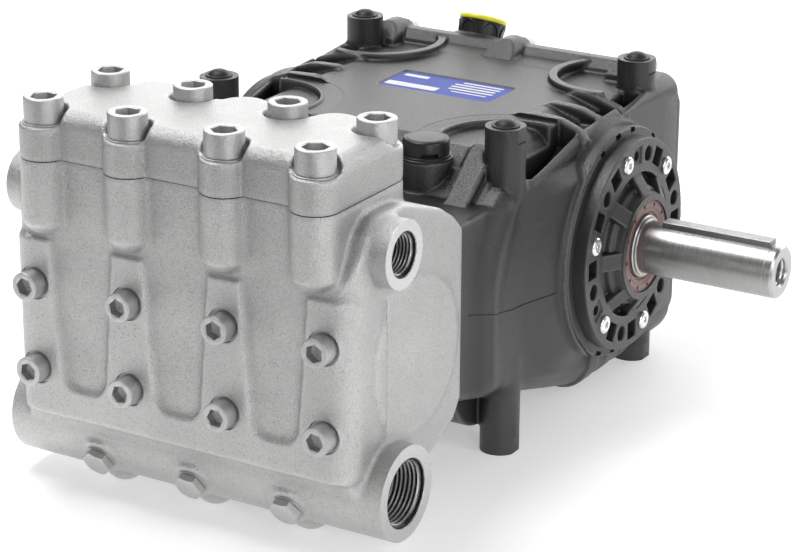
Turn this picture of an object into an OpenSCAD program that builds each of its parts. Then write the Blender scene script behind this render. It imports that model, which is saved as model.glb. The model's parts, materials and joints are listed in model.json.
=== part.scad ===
// Triplex plunger pump with a cast head, an aluminium crankcase and a keyed drive shaft.
// X runs along the crankshaft, with the drive end at +X. The pump head is at -Y and +Z is up.
// Shapes are drawn from the crankshaft axis and carried to the centre of the four feet.

/* [Shaft] */
// Diameter of the drive shaft
shaft_d = 35; // [30:0.5:38]
// How far the shaft stands out past the drive flange's face
shaft_out = 104.5; // [96:0.5:120]
// Chamfer at the end of the shaft
shaft_chamfer = 1.5; // [0.5:0.5:3]
// Diameter of the threaded centre hole in the shaft's end
centre_hole_d = 11; // [8:0.5:14]
// Depth of the centre hole
centre_hole_l = 26; // [15:1:35]
// Width of the key
key_w = 10; // [8:0.5:12]
// Height of the key
key_h = 8; // [7:0.5:9]
// Length of the key
key_l = 76; // [50:1:78]
// Distance from the key to the end of the shaft
key_end_gap = 7; // [4:1:8]
// Outside diameter of the wear ring on the shaft
wear_ring_d = 42; // [40:0.5:44]
// Outside diameter of the shaft seal
seal_d = 62; // [56:0.5:64]
// Radius of the bearing bore through the crankcase
bearing_bore_r = 40; // [36:0.5:42]

/* [Drive flange] */
// How far the flange's outer face stands out from the side of the crankcase
flange_stand = 23; // [20:0.5:27]
// Thickness of the flange
flange_t = 9.5; // [8:0.5:11]
// Radius of the flange
flange_r = 71.2; // [69:0.1:73]
// Radius of the bolt circle
flange_bolt_r = 60.5; // [60:0.1:61]
// Radius of the bolt holes
flange_hole_r = 5; // [4:0.1:5.5]
// Radius of the opening round the hub
flange_recess_r = 48.5; // [46:0.5:49]
// Radius of the hub round the seal
hub_r = 35.5; // [34:0.5:38]
// How far the hub stands out past the flange face
hub_out = 9; // [6:0.5:10]
// Number of radial ribs between the hub and the flange
hub_ribs = 8; // [4:1:8]
// Width of the radial ribs
hub_rib_w = 8.5; // [5:0.5:10]
// Width of the windows in the flange
window_w = 12; // [8:0.5:13]
// Height of the windows in the flange, along the radius
window_h = 12; // [8:0.5:13]

/* [Pump head] */
// Half the width of the head and of the crankcase over their side faces
head_half_w = 122; // [118:0.5:126]
// Distance from the crankshaft axis to the head's front face
head_front = 316; // [312:0.5:320]
// Distance from the crankshaft axis to the joint of head and crankcase
head_joint = 192; // [188:0.5:196]
// Height of the cover joint above the crankshaft axis
seam_z = 106; // [103:0.5:109]
// Distance between two plungers
plunger_pitch = 69; // [67:0.5:71]
// Radius of the suction gallery
suction_r = 29.8; // [28:0.2:31]
// Depth of the suction gallery's axis below the crankshaft axis
suction_drop = 74; // [72:0.5:76]
// Distance from the crankshaft axis back to the suction gallery
suction_y = 278; // [276:0.5:280]
// Radius of the suction ports' threaded holes
suction_port_r = 20.5; // [17:0.1:22]
// Radius of the discharge bosses
discharge_r = 20.8; // [19:0.2:22]
// Height of the discharge gallery's axis above the crankshaft axis
discharge_z = 76.5; // [75:0.5:78]
// Distance from the crankshaft axis back to the discharge gallery
discharge_y = 282; // [280:0.5:284]
// Radius of the discharge ports' threaded holes
discharge_port_r = 12.8; // [10:0.1:14]
// How far the port faces stand out from the sides of the head
port_stand = 13; // [10:0.5:16]
// Depth of the threaded ports
port_depth = 24; // [16:1:30]

/* [Valve cover] */
// Height of the cover over its joint
cover_h = 30; // [28:0.5:33]
// Height of the screw seats over the joint
cover_seat_h = 21; // [19:0.5:23]
// Radius of the lobes round the cover screws
lobe_r = 15.2; // [14.5:0.1:17]
// Radius of the rounded top edges
cover_round = 11; // [6:0.5:13]
// Radius of the humps on the rear edge, one over each valve
hump_r = 22; // [18:0.5:24]
// How far the humps stand out past the rear edge
hump_out = 14; // [8:0.5:16]

/* [Screws] */
// Head diameter of the cover screws
cover_screw_d = 24; // [20:0.5:25]
// Head height of the cover screws
cover_screw_h = 16; // [12:0.5:18]
// Head diameter of the front screws
front_screw_d = 18; // [16:0.5:19]
// Head height of the front screws
front_screw_h = 12; // [10:0.5:14]
// Width across the flats of the drain plugs
drain_af = 17; // [14:0.5:18]

/* [Crankcase] */
// Height of the top face above the crankshaft axis
case_top_z = 86.5; // [84:0.5:89]
// Depth of the sump below the crankshaft axis
case_drop = 104; // [100:0.5:106]
// Distance from the crankshaft axis to the rear cover's joint
case_rear = 104; // [100:0.5:108]
// Radius of the bearing bosses on the sides
boss_r = 78; // [74:0.5:80]
// Radius of the four posts
post_r = 13; // [12:0.25:14]
// Half the distance between the left and right posts
post_half_x = 107.5; // [106:0.5:109]
// Height of the post tops above the crankshaft axis
post_top_z = 105; // [102:0.5:108]
// Distance from the crankshaft axis forward to the front posts
post_front = 113; // [111:0.5:115]
// Distance from the crankshaft axis back to the rear posts
post_rear = 71; // [69:0.5:73]
// Number of ribs on each side of the top
top_ribs = 3; // [1:1:3]
// Width of the ribs
rib_w = 7; // [5:0.5:9]

/* [Feet] */
// Height of the crankshaft axis over the feet
foot_drop = 111.5; // [110:0.5:118]
// Radius of the four feet
foot_r = 13; // [12.5:0.25:14.5]
// Half the distance between the left and right feet
foot_half_x = 109; // [107:0.5:110]
// Distance between the front and rear feet
foot_pitch_y = 191; // [188:0.5:194]
// Distance from the crankshaft axis forward to the front feet
foot_front = 116; // [114:0.5:118]
// Radius of the threaded holes in the feet
foot_hole_r = 6; // [4:0.25:7]
// Depth of the threaded holes in the feet
foot_hole_l = 22; // [14:1:26]

/* [Rear cover] */
// Thickness of the rear cover's rim
rear_rim_t = 10; // [8:0.5:13]
// Depth of the pan on the rear cover
rear_pan_t = 14; // [10:0.5:18]

/* [Hidden] */
$fn = 96;

cast = "#b9bab6";
steel = "#cfd0d0";
coated = "#3b3c3e";
plastic = "#1d1d1f";

// Running clearance between the shaft's ring and the seal, on the radius
run_gap = 0.05;
// Clearance round loose pieces that are seated in a recess
seat_gap = 0.3;
// Gap between the crankshaft's inner end and the closed flange
end_gap = 1;
// A cut reaches this far past the face that it opens
over = 1;
// Longer than the pump in every direction, for cuts that go right through
big = 700;

crank_y = foot_front - foot_pitch_y / 2;
module from_crank() translate([0, crank_y, foot_drop]) children();

// Extrude a (y, z) outline along X, or an (x, z) outline along Y
module along_x(x0, x1) translate([x0, 0, 0]) rotate([90, 0, 90]) linear_extrude(x1 - x0) children();
module along_y(y0, y1) translate([0, y1, 0]) rotate([90, 0, 0]) linear_extrude(y1 - y0) children();
module along_z(z0, z1) translate([0, 0, z0]) linear_extrude(z1 - z0) children();
// A round bar along X or Y from one end to the other
module bar_x(x0, x1, r) translate([x0, 0, 0]) rotate([0, 90, 0]) cylinder(r = r, h = x1 - x0);
module bar_y(y0, y1, r) translate([0, y0, 0]) rotate([-90, 0, 0]) cylinder(r = r, h = y1 - y0);
module both_sides() { children(); mirror([1, 0, 0]) children(); }

// A rectangle from corner to corner with rounded corners
module round_rect(a, b, r) {
  translate([a[0] + r, a[1]]) square([b[0] - a[0] - 2 * r, b[1] - a[1]]);
  translate([a[0], a[1] + r]) square([b[0] - a[0], b[1] - a[1] - 2 * r]);
  for (x = [a[0] + r, b[0] - r], y = [a[1] + r, b[1] - r]) translate([x, y]) circle(r);
}

// Socket head cap screw standing on z = 0, with a chamfered rim and a hexagon socket
module cap_screw(d, h, af) {
  rim = d / 20;
  difference() {
    rotate_extrude() polygon([[0, 0], [d / 2, 0], [d / 2, h - rim], [d / 2 - rim, h], [0, h]]);
    translate([0, 0, h / 2]) cylinder(d = af / cos(30), h = h, $fn = 6);
  }
}

// Places of the screws on the cover and on the front of the head
cover_screw_x = [-95.4, -33.9, 33.9, 95.4];
cover_screw_front_y = 2.8 - head_front;
cover_screw_rear_y = cover_screw_front_y + 66.3;
front_screw_x = [for (k = [-1.5, -0.5, 0.5, 1.5]) k * plunger_pitch];
front_screw_upper_z = 25.2;
front_screw_lower_z = -29.8;
cover_lip = 2;
cover_front_y = -head_front - cover_lip;
cover_rear_y = cover_screw_rear_y + 10.5;
cover_half_w = cover_screw_x[3] + lobe_r;
pad_t = 3.2;
spot_r = front_screw_d / 2 + 1.8;
spot_t = 2;
port_face_x = head_half_w + port_stand;
hump_x = [for (k = [0:2]) (cover_screw_x[k] + cover_screw_x[k + 1]) / 2];
hump_y = cover_rear_y + hump_out - hump_r;
washer_r = cover_screw_d / 2 + 1;
washer_t = 1;

// Side view of the wide lower part of the head, in (y, z)
head_low = 55;
head_low_r = 4;
module head_side() {
  polygon([
    [-head_front, -head_low], [-head_front, discharge_z - 18], [-head_front + 15, discharge_z + 13],
    [-discharge_y, discharge_z + 22], [-discharge_y + 24, discharge_z + 21],
    [-head_joint - 24, discharge_z + 6.5], [-head_joint - 9, discharge_z - 3],
    [-head_joint, discharge_z - 12],
    [-head_joint, -head_low + 7], [-head_joint - 7, -head_low - 3],
    [-suction_y + 16, -suction_drop - 12], [-suction_y, -suction_drop],
    [-suction_y - suction_r + 1, -suction_drop]
  ]);
  translate([-discharge_y, discharge_z]) circle(discharge_r + 1.2);
}

// Front relief: four bolt pads left standing between three pockets that narrow downwards
pocket_top = plunger_pitch / 2 - 11;
pocket_low = plunger_pitch / 2 - 17.5;
pocket_r = 13;
pad_low_z = -41;
pad_top_z = 54;
module pocket() {
  polygon([
    [-pocket_top, pad_top_z + over], [-pocket_low, pad_low_z + pocket_r],
    [pocket_low, pad_low_z + pocket_r], [pocket_top, pad_top_z + over]
  ]);
  round_rect([-pocket_low, pad_low_z], [pocket_low, pad_low_z + 3 * pocket_r], pocket_r);
}
module front_relief() difference() {
  round_rect([-head_half_w, -head_low - 5], [head_half_w, pad_top_z], 6);
  for (k = [-1, 0, 1]) translate([k * plunger_pitch, 0]) pocket();
}

module port(y, z, r) translate([0, y, z]) both_sides() {
  bar_x(port_face_x - port_depth, port_face_x + over, r);
  translate([port_face_x - 2, 0, 0]) rotate([0, 90, 0]) cylinder(r1 = r, r2 = r + 2 + over, h = 2 + over);
}

drain_dir = 28;
drain_seat = suction_r + 0.5;
drain_boss_r = drain_af / 2 + 5;
drain_bulge_r = 14;
module drain_place() for (k = [-1, 0, 1])
  translate([k * plunger_pitch, -suction_y, -suction_drop]) rotate([90 + drain_dir, 0, 0]) children();

// A column under a cover screw, narrower at its lower end
column_low_z = 59;
column_taper = 6;
module column(y) translate([0, y, column_low_z]) {
  cylinder(r1 = lobe_r - column_taper, r2 = lobe_r, h = column_taper);
  translate([0, 0, column_taper]) cylinder(r = lobe_r, h = seam_z - column_low_z - column_taper);
}

side_disc_r = 47.5;
side_disc_y = -head_joint - 53;
side_disc_t = 1.2;
corner_r = 16;

module pump_head() {
  $fn = 48;
  color(cast) from_crank() difference() {
    union() {
      intersection() {
        along_x(-head_half_w, head_half_w) head_side();
        along_z(-suction_drop - suction_r, seam_z)
          round_rect([-head_half_w, -head_front], [head_half_w, -head_joint + 3 * corner_r], corner_r);
      }
      intersection() {
        along_y(-head_front - pad_t, -head_front + corner_r) front_relief();
        along_z(-head_low - corner_r, pad_top_z + corner_r)
          round_rect(
            [-head_half_w, -head_front - pad_t], [head_half_w, -head_front + 3 * corner_r], corner_r
          );
      }
      both_sides() intersection() {
        along_x(head_half_w - over, head_half_w + side_disc_t) {
          translate([side_disc_y, 0]) circle(side_disc_r);
          translate([side_disc_y - 35, -side_disc_r]) square([35, 2 * side_disc_r]);
        }
        along_x(0, big / 2) head_side();
      }
      along_z(pad_top_z, seam_z) {
        translate([-cover_screw_x[3], -head_front]) square([2 * cover_screw_x[3], cover_rear_y + head_front]);
        translate([-cover_half_w, cover_screw_front_y])
          square([2 * cover_half_w, cover_screw_rear_y - cover_screw_front_y]);
      }
      for (x = hump_x) translate([x, hump_y, column_low_z]) cylinder(r = hump_r, h = seam_z - column_low_z);
      for (x = cover_screw_x) translate([x, 0, 0]) {
        column(cover_screw_front_y);
        translate([0, cover_screw_rear_y, column_low_z]) cylinder(r = lobe_r, h = seam_z - column_low_z);
      }
      translate([0, -suction_y, -suction_drop]) bar_x(-port_face_x, port_face_x, suction_r);
      translate([0, -discharge_y, discharge_z]) bar_x(-port_face_x, port_face_x, discharge_r);
      drain_place() cylinder(r = drain_boss_r, h = drain_seat);
      for (k = [-1, 0, 1])
        translate([k * plunger_pitch, -suction_y - 1, drain_bulge_r - 8 - suction_drop - suction_r])
          sphere(r = drain_bulge_r, $fn = 28);
    }
    port(-suction_y, -suction_drop, suction_port_r);
    port(-discharge_y, discharge_z, discharge_port_r);
    for (x = front_screw_x, z = [front_screw_upper_z, front_screw_lower_z])
      translate([x, 0, z]) bar_y(-head_front - pad_t - over, -head_front - pad_t + spot_t, spot_r);
  }
}

module cover_hump() rotate_extrude() intersection() {
  square([hump_r, cover_h]);
  round_rect([-hump_r, -cover_h], [hump_r, cover_h], cover_round);
}
module valve_cover() color(cast) from_crank() {
  r = cover_round;
  top = seam_z + cover_h;
  difference() {
    union() {
      for (x = hump_x) translate([x, hump_y, seam_z]) cover_hump();
      intersection() {
        along_z(seam_z, top) union() {
          translate([-cover_screw_x[3], cover_front_y])
            square([2 * cover_screw_x[3], cover_rear_y - cover_front_y]);
          translate([-cover_half_w, cover_screw_front_y])
            square([2 * cover_half_w, cover_screw_rear_y - cover_screw_front_y]);
        }
        along_x(-cover_half_w, cover_half_w) union() {
          translate([cover_front_y, seam_z]) square([cover_rear_y - cover_front_y, cover_h - r]);
          round_rect([cover_front_y, seam_z], [cover_rear_y, top], r);
        }
        along_y(cover_front_y, cover_rear_y) union() {
          translate([-cover_half_w, seam_z]) square([2 * cover_half_w, cover_h - r]);
          round_rect([-cover_half_w, seam_z], [cover_half_w, top], r);
        }
      }
    }
    for (x = cover_screw_x, y = [cover_screw_front_y, cover_screw_rear_y])
      translate([x, y, seam_z + cover_seat_h]) cylinder(r = lobe_r - 0.6, h = cover_h);
  }
  for (x = cover_screw_x, y = [cover_screw_front_y, cover_screw_rear_y])
    translate([x, y, seam_z]) cylinder(r = lobe_r, h = cover_seat_h);
}

module cover_screw_row(y) color(steel) from_crank()
  for (x = cover_screw_x) translate([x, y, seam_z + cover_seat_h]) {
    cylinder(r = washer_r, h = washer_t);
    translate([0, 0, washer_t]) cap_screw(cover_screw_d, cover_screw_h - washer_t, 14);
  }
module cover_screws_front() cover_screw_row(cover_screw_front_y);
module cover_screws_rear() cover_screw_row(cover_screw_rear_y);

module head_screw_row(z) color(steel) from_crank()
  for (x = front_screw_x) translate([x, -head_front - pad_t + spot_t, z]) rotate([90, 0, 0])
    cap_screw(front_screw_d, front_screw_h, 10);
module head_screws_upper() head_screw_row(front_screw_upper_z);
module head_screws_lower() head_screw_row(front_screw_lower_z);

module drain_plugs() color(steel) from_crank() drain_place() translate([0, 0, drain_seat]) {
  cylinder(r = drain_af / 2 + 1.6, h = 0.8);
  translate([0, 0, 0.8]) cylinder(d = drain_af / cos(30), h = 5, $fn = 6);
}

// Sizes that follow from the crankcase, whose sides are flush with the head's
case_half_w = head_half_w;
flange_face_x = case_half_w + flange_stand;
flange_back_x = flange_face_x - flange_t;
shaft_end_x = flange_face_x + shaft_out;
rear_half_w = case_half_w + 2;
neck_half_w = case_half_w - 8;
neck_top_z = 60;
deck_half_w = 84;
slot_in_x = 104;
wall_t = 5;
slot_floor_z = 48;
section_r = 24;
top_corner_r = 13;
bulge_pos = [-118, -58];
bulge_r = 38;
bulge_half_w = 96;
belly_tilt = 15.4;
rib_y = [for (k = [0:top_ribs - 1]) -32 + 29 * k];
post_y = [-post_front, post_rear];
foot_y = [-foot_front, foot_pitch_y - foot_front];
rear_boss_x = [-99, -3, 93];
rear_boss_r = 12;
rear_boss_z = case_top_z - 0.5;
rear_boss_l = 28;
rear_lug_r = 9;
belly_rib_y = [-12, 14, 40];
seam_lip_z = case_top_z + 6;
breather_pos = [58, -126];
plate_size = [87, 40];
plate_floor = 1.5;

// Middle part of the crankcase seen from the side, in (y, z)
module deck_side() polygon([
  [-head_joint, -54], [-head_joint, neck_top_z], [-140, neck_top_z], [-104, case_top_z],
  [case_rear, case_top_z],
  [case_rear, -case_drop], [-10, -case_drop], [-20, -case_drop + 1.5], [-150, -64], [-head_joint, -54]
]);
// Wide part of the crankcase with a round front end, in (y, z)
module wide_side(r) {
  intersection() {
    translate([-95, 8]) circle(r);
    polygon([[-95 - r, 0], [-95 - r, 70], [-112, 66], [-95, 68], [-60, 72], [-60, 0]]);
  }
  polygon([
    [-95 - r, 8], [-95 - r, -56], [-20, -case_drop + 1.5], [-10, -case_drop], [case_rear, -case_drop],
    [case_rear, 88], [72, 87], [48, 83], [-60, 69.5], [-60, 8]
  ]);
}
// Rounded lower corners of the crankcase, in (x, z)
module low_section() {
  round_rect([-rear_half_w, -case_drop], [rear_half_w, case_top_z], section_r);
  round_rect([-rear_half_w, 0], [rear_half_w, case_top_z + 1.5], top_corner_r);
}
// Rib over the edge of the deck, in (x, z)
module rib_shape() polygon([
  [78, case_top_z - over], [78, case_top_z + 0.5], [84, case_top_z + 3], [slot_in_x, case_top_z + 2],
  [case_half_w - 4, case_top_z - 3], [case_half_w + 2, case_top_z - 10], [case_half_w + 2, 50],
  [case_half_w - 2, 42], [slot_in_x - 6, 42], [84, case_top_z - 8]
]);

front_arc = [95, -90];
rear_arc = [93, 70];

module case_body() difference() {
  intersection() {
    union() {
      intersection() {
        along_x(-slot_in_x, slot_in_x) deck_side();
        along_y(-head_joint, case_rear) polygon([
          [-slot_in_x, -case_drop], [-slot_in_x, case_top_z - 6.5], [-deck_half_w, case_top_z],
          [deck_half_w, case_top_z], [slot_in_x, case_top_z - 6.5], [slot_in_x, -case_drop]
        ]);
      }
      along_x(-neck_half_w, neck_half_w) polygon([
        [-head_joint, -54], [-head_joint, neck_top_z], [-112, neck_top_z], [-100, -84], [-150, -64]
      ]);
      along_x(-neck_half_w - 0.5, neck_half_w + 0.5) wide_side(68);
      along_x(-neck_half_w - 3.5, neck_half_w + 3.5) wide_side(63);
      along_x(-case_half_w + 2, case_half_w - 2) wide_side(56);
      along_x(-rear_half_w, rear_half_w) wide_side(45);
      intersection() {
        along_x(-bulge_half_w, bulge_half_w) translate(bulge_pos) circle(bulge_r);
        along_y(-165, -70) round_rect([-bulge_half_w, -case_drop], [bulge_half_w, 0], 10);
      }
    }
    along_z(-case_drop, big) polygon([
      [-case_half_w + 1, -head_joint], [case_half_w - 1, -head_joint], [case_half_w - 1, -140],
      [case_half_w, -60], [rear_half_w, case_rear], [-rear_half_w, case_rear], [-case_half_w, -60],
      [-case_half_w + 1, -140]
    ]);
    along_y(-head_joint, case_rear) low_section();
    union() {
      translate([0, -20, -case_drop + 1.5]) rotate([-belly_tilt, 0, 0]) translate([0, 0, case_drop])
        along_y(-big, 0) low_section();
      translate([0, -20.5, 0]) along_y(0, big) square([big, big], center = true);
      along_x(-bulge_half_w, bulge_half_w) translate(bulge_pos) circle(bulge_r);
    }
  }
  both_sides() {
    translate([slot_in_x, -98, slot_floor_z]) cube([case_half_w - wall_t - slot_in_x, 156, big]);
    intersection() {
      along_z(74, big) translate(front_arc) circle(54);
      translate([30, -135, 0]) cube([slot_in_x - 30, big, big]);
    }
    intersection() {
      along_z(case_top_z - 3, big) translate(rear_arc) circle(41);
      translate([30, 0, 0]) cube([slot_in_x - 30, case_rear - 8, big]);
    }
  }
}

// Raised arc on the deck round a post
module arc_lip(centre, r_in, r_out, low, high, box) intersection() {
  along_z(low, high) translate(centre) difference() { circle(r_out); circle(r_in); }
  translate([box[0], box[1], 0]) cube([box[2], box[3], high]);
}

module crankcase() color(coated) from_crank() difference() {
  union() {
    case_body();
    both_sides() {
      bar_x(case_half_w - 30, flange_back_x - 4.5, boss_r);
      bar_x(case_half_w - 30, flange_back_x, boss_r - 4.5);
      translate([case_half_w - 4, 0, 0]) rotate([0, 90, 0]) cylinder(r1 = boss_r + 5, r2 = boss_r, h = 9);
      for (y = post_y) translate([post_half_x, y, 30]) cylinder(r = post_r, h = post_top_z - 30);
      for (y = foot_y) translate([foot_half_x, y, -foot_drop]) cylinder(r = foot_r, h = 70);
      for (y = rib_y) along_y(y - rib_w / 2, y + rib_w / 2) rib_shape();
      for (y = belly_rib_y) translate([case_half_w - section_r + 1, 0, -case_drop + section_r])
        bar_y(y - 7, y + 7, section_r + 1.5);
      arc_lip(front_arc, 53, 57.5, 60, case_top_z + 2.5, [30, -104, slot_in_x - 30, 74]);
      arc_lip(rear_arc, 40, 46, 70, case_top_z + 4.5, [40, 10, slot_in_x - 40, case_rear - 10]);
      along_x(84, 100) polygon([[-post_front, 60], [-post_front, 88], [-118, 86], [-152, 58], [-152, 50]]);
    }
    translate([breather_pos[0], breather_pos[1], 30]) cylinder(r = 16, h = 50);
    for (x = rear_boss_x) intersection() {
      translate([x, 0, rear_boss_z]) bar_y(case_rear - rear_boss_l, case_rear, rear_boss_r);
      along_x(-rear_half_w, rear_half_w) polygon([
        [case_rear - rear_boss_l, 50], [case_rear - rear_boss_l, case_top_z + 2],
        [case_rear - rear_boss_l / 2, rear_boss_z + rear_boss_r],
        [case_rear, rear_boss_z + rear_boss_r], [case_rear, 50]
      ]);
    }
    along_x(-slot_in_x, slot_in_x) polygon([
      [case_rear - 14, case_top_z - over], [case_rear - 14, case_top_z], [case_rear - 7, seam_lip_z],
      [case_rear, seam_lip_z], [case_rear, case_top_z - over]
    ]);
  }
  bar_x(-flange_face_x, flange_face_x, bearing_bore_r);
  both_sides() for (y = foot_y) translate([foot_half_x, y, -foot_drop - over])
    cylinder(r = foot_hole_r, h = foot_hole_l + over);
  along_z(case_top_z - plate_floor, big) round_rect(-plate_size / 2, plate_size / 2, 4);
}

rear_face_y = case_rear + rear_rim_t + rear_pan_t;
rear_screw_d = 13;
rear_screw_h = 8;
rear_seat_y = case_rear + rear_rim_t;
rear_screw_pos = concat(
  [for (x = rear_boss_x) [x, rear_seat_y, rear_boss_z]],
  [for (x = [-90, 0, 90]) [x, rear_seat_y, -case_drop + 13]],
  [[-rear_half_w + 12, rear_seat_y, 0], [rear_half_w - 12, rear_seat_y, 0]]
);
filler_x = -44;
filler_tilt = 22;
filler_y = case_rear + 22;
filler_r = 16.5;
filler_h = 10;
sight_pos = [44, -32];
sight_r = 15;
sight_glass_r = 9;
sight_depth = 4;
oil_drain_pos = [0, -66];

rear_edge = 2;
module rear_outline(inset) round_rect(
  [-rear_half_w + rear_edge + inset, -case_drop + 3 * rear_edge + inset],
  [rear_half_w - rear_edge - inset, case_top_z - rear_edge - inset], 22
);
module filler_place() translate([filler_x, filler_y, case_top_z]) rotate([-filler_tilt, 0, 0]) children();

module rear_cover() color(coated) from_crank() difference() {
  union() {
    along_y(case_rear, case_rear + rear_rim_t) rear_outline(0);
    intersection() {
      along_y(case_rear, rear_face_y) rear_outline(20);
      along_x(-rear_half_w, rear_half_w) polygon([
        [case_rear, -case_drop], [rear_face_y - 8, -case_drop], [rear_face_y, -case_drop + 40],
        [rear_face_y, 30], [rear_face_y - 12, case_top_z], [case_rear, case_top_z]
      ]);
    }
    along_x(-slot_in_x, slot_in_x) translate([case_rear, 0]) square([rear_rim_t - 4, seam_lip_z - 1]);
    for (x = rear_boss_x) translate([x, 0, rear_boss_z])
      bar_y(case_rear, case_rear + rear_rim_t, rear_lug_r);
    intersection() {
      filler_place() translate([0, 0, -3 * filler_r]) cylinder(r = filler_r + 2.5, h = 3 * filler_r);
      translate([-rear_half_w, case_rear, -case_drop]) cube([2 * rear_half_w, big, big]);
    }
  }
  translate([sight_pos[0], 0, sight_pos[1]]) bar_y(rear_face_y - sight_depth, big, sight_r + seat_gap);
}

module rear_cover_screws() color(steel) from_crank()
  for (p = rear_screw_pos) translate(p) rotate([-90, 0, 0])
    cap_screw(rear_screw_d, rear_screw_h, 6);

module sight_glass_frame() color(steel) from_crank()
  translate([sight_pos[0], rear_face_y - sight_depth, sight_pos[1]]) rotate([-90, 0, 0]) difference() {
    union() {
      cylinder(r = sight_r, h = sight_depth + 2);
      translate([0, 0, sight_depth + 2]) cylinder(d = 2 * sight_r - 2, h = 3, $fn = 6);
    }
    translate([0, 0, sight_depth / 2]) cylinder(r = sight_glass_r, h = sight_depth + 2 + 3);
  }
module sight_glass() color("#c9b46a") from_crank()
  translate([sight_pos[0], rear_face_y - sight_depth / 2, sight_pos[1]]) rotate([-90, 0, 0])
    cylinder(r = sight_glass_r - run_gap, h = sight_depth);
module oil_drain_plug() color(steel) from_crank() translate([oil_drain_pos[0], rear_face_y, oil_drain_pos[1]])
  rotate([-90, 0, 0]) { cylinder(r = 12, h = 1.5); translate([0, 0, 1.5]) cylinder(d = 19, h = 8, $fn = 6); }

// Bearing flange: a ring of windows and holes, and a ribbed hub in an open recess
module flange_casting(hub_len, bore_r) difference() {
  union() {
    difference() {
      bar_x(flange_back_x, flange_face_x, flange_r);
      bar_x(flange_back_x + 2, flange_face_x + over, flange_recess_r);
      for (k = [0:11]) rotate([30 * k, 0, 0])
        translate([flange_back_x - over, -window_w / 2, flange_bolt_r - window_h / 2])
          cube([flange_t + 2 * over, window_w, window_h]);
    }
    bar_x(flange_back_x, flange_face_x + hub_len, hub_r);
    translate([flange_back_x, 0, 0]) rotate([0, 90, 0]) cylinder(r1 = hub_r + 7, r2 = hub_r, h = flange_t);
    for (k = [0:hub_ribs - 1]) rotate([k * 360 / hub_ribs, 0, 0])
      translate([flange_back_x, -hub_rib_w / 2, hub_r - 4])
        cube([flange_t - 1.5, hub_rib_w, flange_recess_r - hub_r + 6]);
  }
  bar_x(flange_back_x - over, flange_face_x + hub_len + over, bore_r);
  for (k = [0:5]) rotate([60 * k + 15, 0, 0]) translate([0, flange_bolt_r, 0])
    bar_x(flange_back_x - over, flange_face_x + over, flange_hole_r);
}
flange_screw_d = 12.5;
flange_screw_h = 2.4;
module flange_screws(side) color(steel) from_crank() for (k = [0:5])
  rotate([60 * k + 45, 0, 0]) translate([side * flange_face_x, flange_bolt_r, 0])
    rotate([0, side * 90, 0]) cap_screw(flange_screw_d, flange_screw_h, 5);

module drive_flange() color(coated) from_crank() flange_casting(hub_out, seal_d / 2 + run_gap);
module blind_flange() color(coated) from_crank() mirror([1, 0, 0]) {
  flange_casting(0, bearing_bore_r / 2);
  bar_x(flange_back_x, flange_face_x, bearing_bore_r / 2);
}
module drive_flange_screws() flange_screws(1);
module blind_flange_screws() flange_screws(-1);

hub_face_x = flange_face_x + hub_out;
seal_t = 9;
module shaft_seal() color("#7a5048") from_crank() difference() {
  bar_x(hub_face_x - 1 - seal_t, hub_face_x - 1, seal_d / 2);
  bar_x(0, big, wear_ring_d / 2 + run_gap);
}
module wear_ring() color(steel) from_crank() difference() {
  bar_x(hub_face_x - seal_t - 6, hub_face_x + 0.6, wear_ring_d / 2);
  bar_x(0, big, shaft_d / 2);
}

key_x0 = shaft_end_x - key_end_gap - key_l;
key_seat_z = shaft_d / 2 - 0.6 * key_h;
module key_block(grow) translate([key_x0, -key_w / 2, key_seat_z]) cube([key_l, key_w, key_h + grow]);
module crankshaft() color(steel) from_crank() difference() {
  union() {
    bar_x(end_gap - flange_back_x, shaft_end_x - shaft_chamfer, shaft_d / 2);
    translate([shaft_end_x - shaft_chamfer, 0, 0]) rotate([0, 90, 0])
      cylinder(r1 = shaft_d / 2, r2 = shaft_d / 2 - shaft_chamfer, h = shaft_chamfer);
  }
  bar_x(shaft_end_x - centre_hole_l, shaft_end_x + over, centre_hole_d / 2);
  key_block(shaft_d);
}
module shaft_key() color(steel) from_crank() key_block(0);

breather_ring_h = 3;
breather_seat_z = 80;
module breather_ring() color(plastic) from_crank()
  translate([breather_pos[0], breather_pos[1], breather_seat_z]) cylinder(r = 17, h = breather_ring_h);
module breather_cap() color(plastic) from_crank()
  translate([breather_pos[0], breather_pos[1], breather_seat_z + breather_ring_h]) rotate_extrude()
    polygon([[0, 0], [15, 0], [15, 8], [13, 10], [0, 11]]);

module filler_cap_body() color(plastic) from_crank() filler_place() cylinder(r = filler_r, h = filler_h);
module filler_cap_top() color("#e9e04a") from_crank() filler_place() translate([0, 0, filler_h])
  rotate_extrude() polygon([[0, 0], [filler_r + 1, 0], [filler_r + 1, 1.5], [filler_r - 2, 3], [0, 4]]);

module data_plate() color("#3257b8") from_crank()
  along_z(case_top_z - plate_floor, case_top_z - plate_floor / 2)
  round_rect([seat_gap, seat_gap] - plate_size / 2, plate_size / 2 - [seat_gap, seat_gap], 4 - seat_gap);

module post_plug(x, y) color(plastic) from_crank() translate([x, y, post_top_z]) rotate_extrude()
  polygon([[0, 0], [post_r - 4, 0], [post_r - 4, 0.8], [post_r - 6, 2.4], [post_r - 9, 3.6], [0, 4.2]]);
module post_plug_left_front() post_plug(-post_half_x, -post_front);
module post_plug_left_rear() post_plug(-post_half_x, post_rear);
module post_plug_right_front() post_plug(post_half_x, -post_front);
module post_plug_right_rear() post_plug(post_half_x, post_rear);

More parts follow.
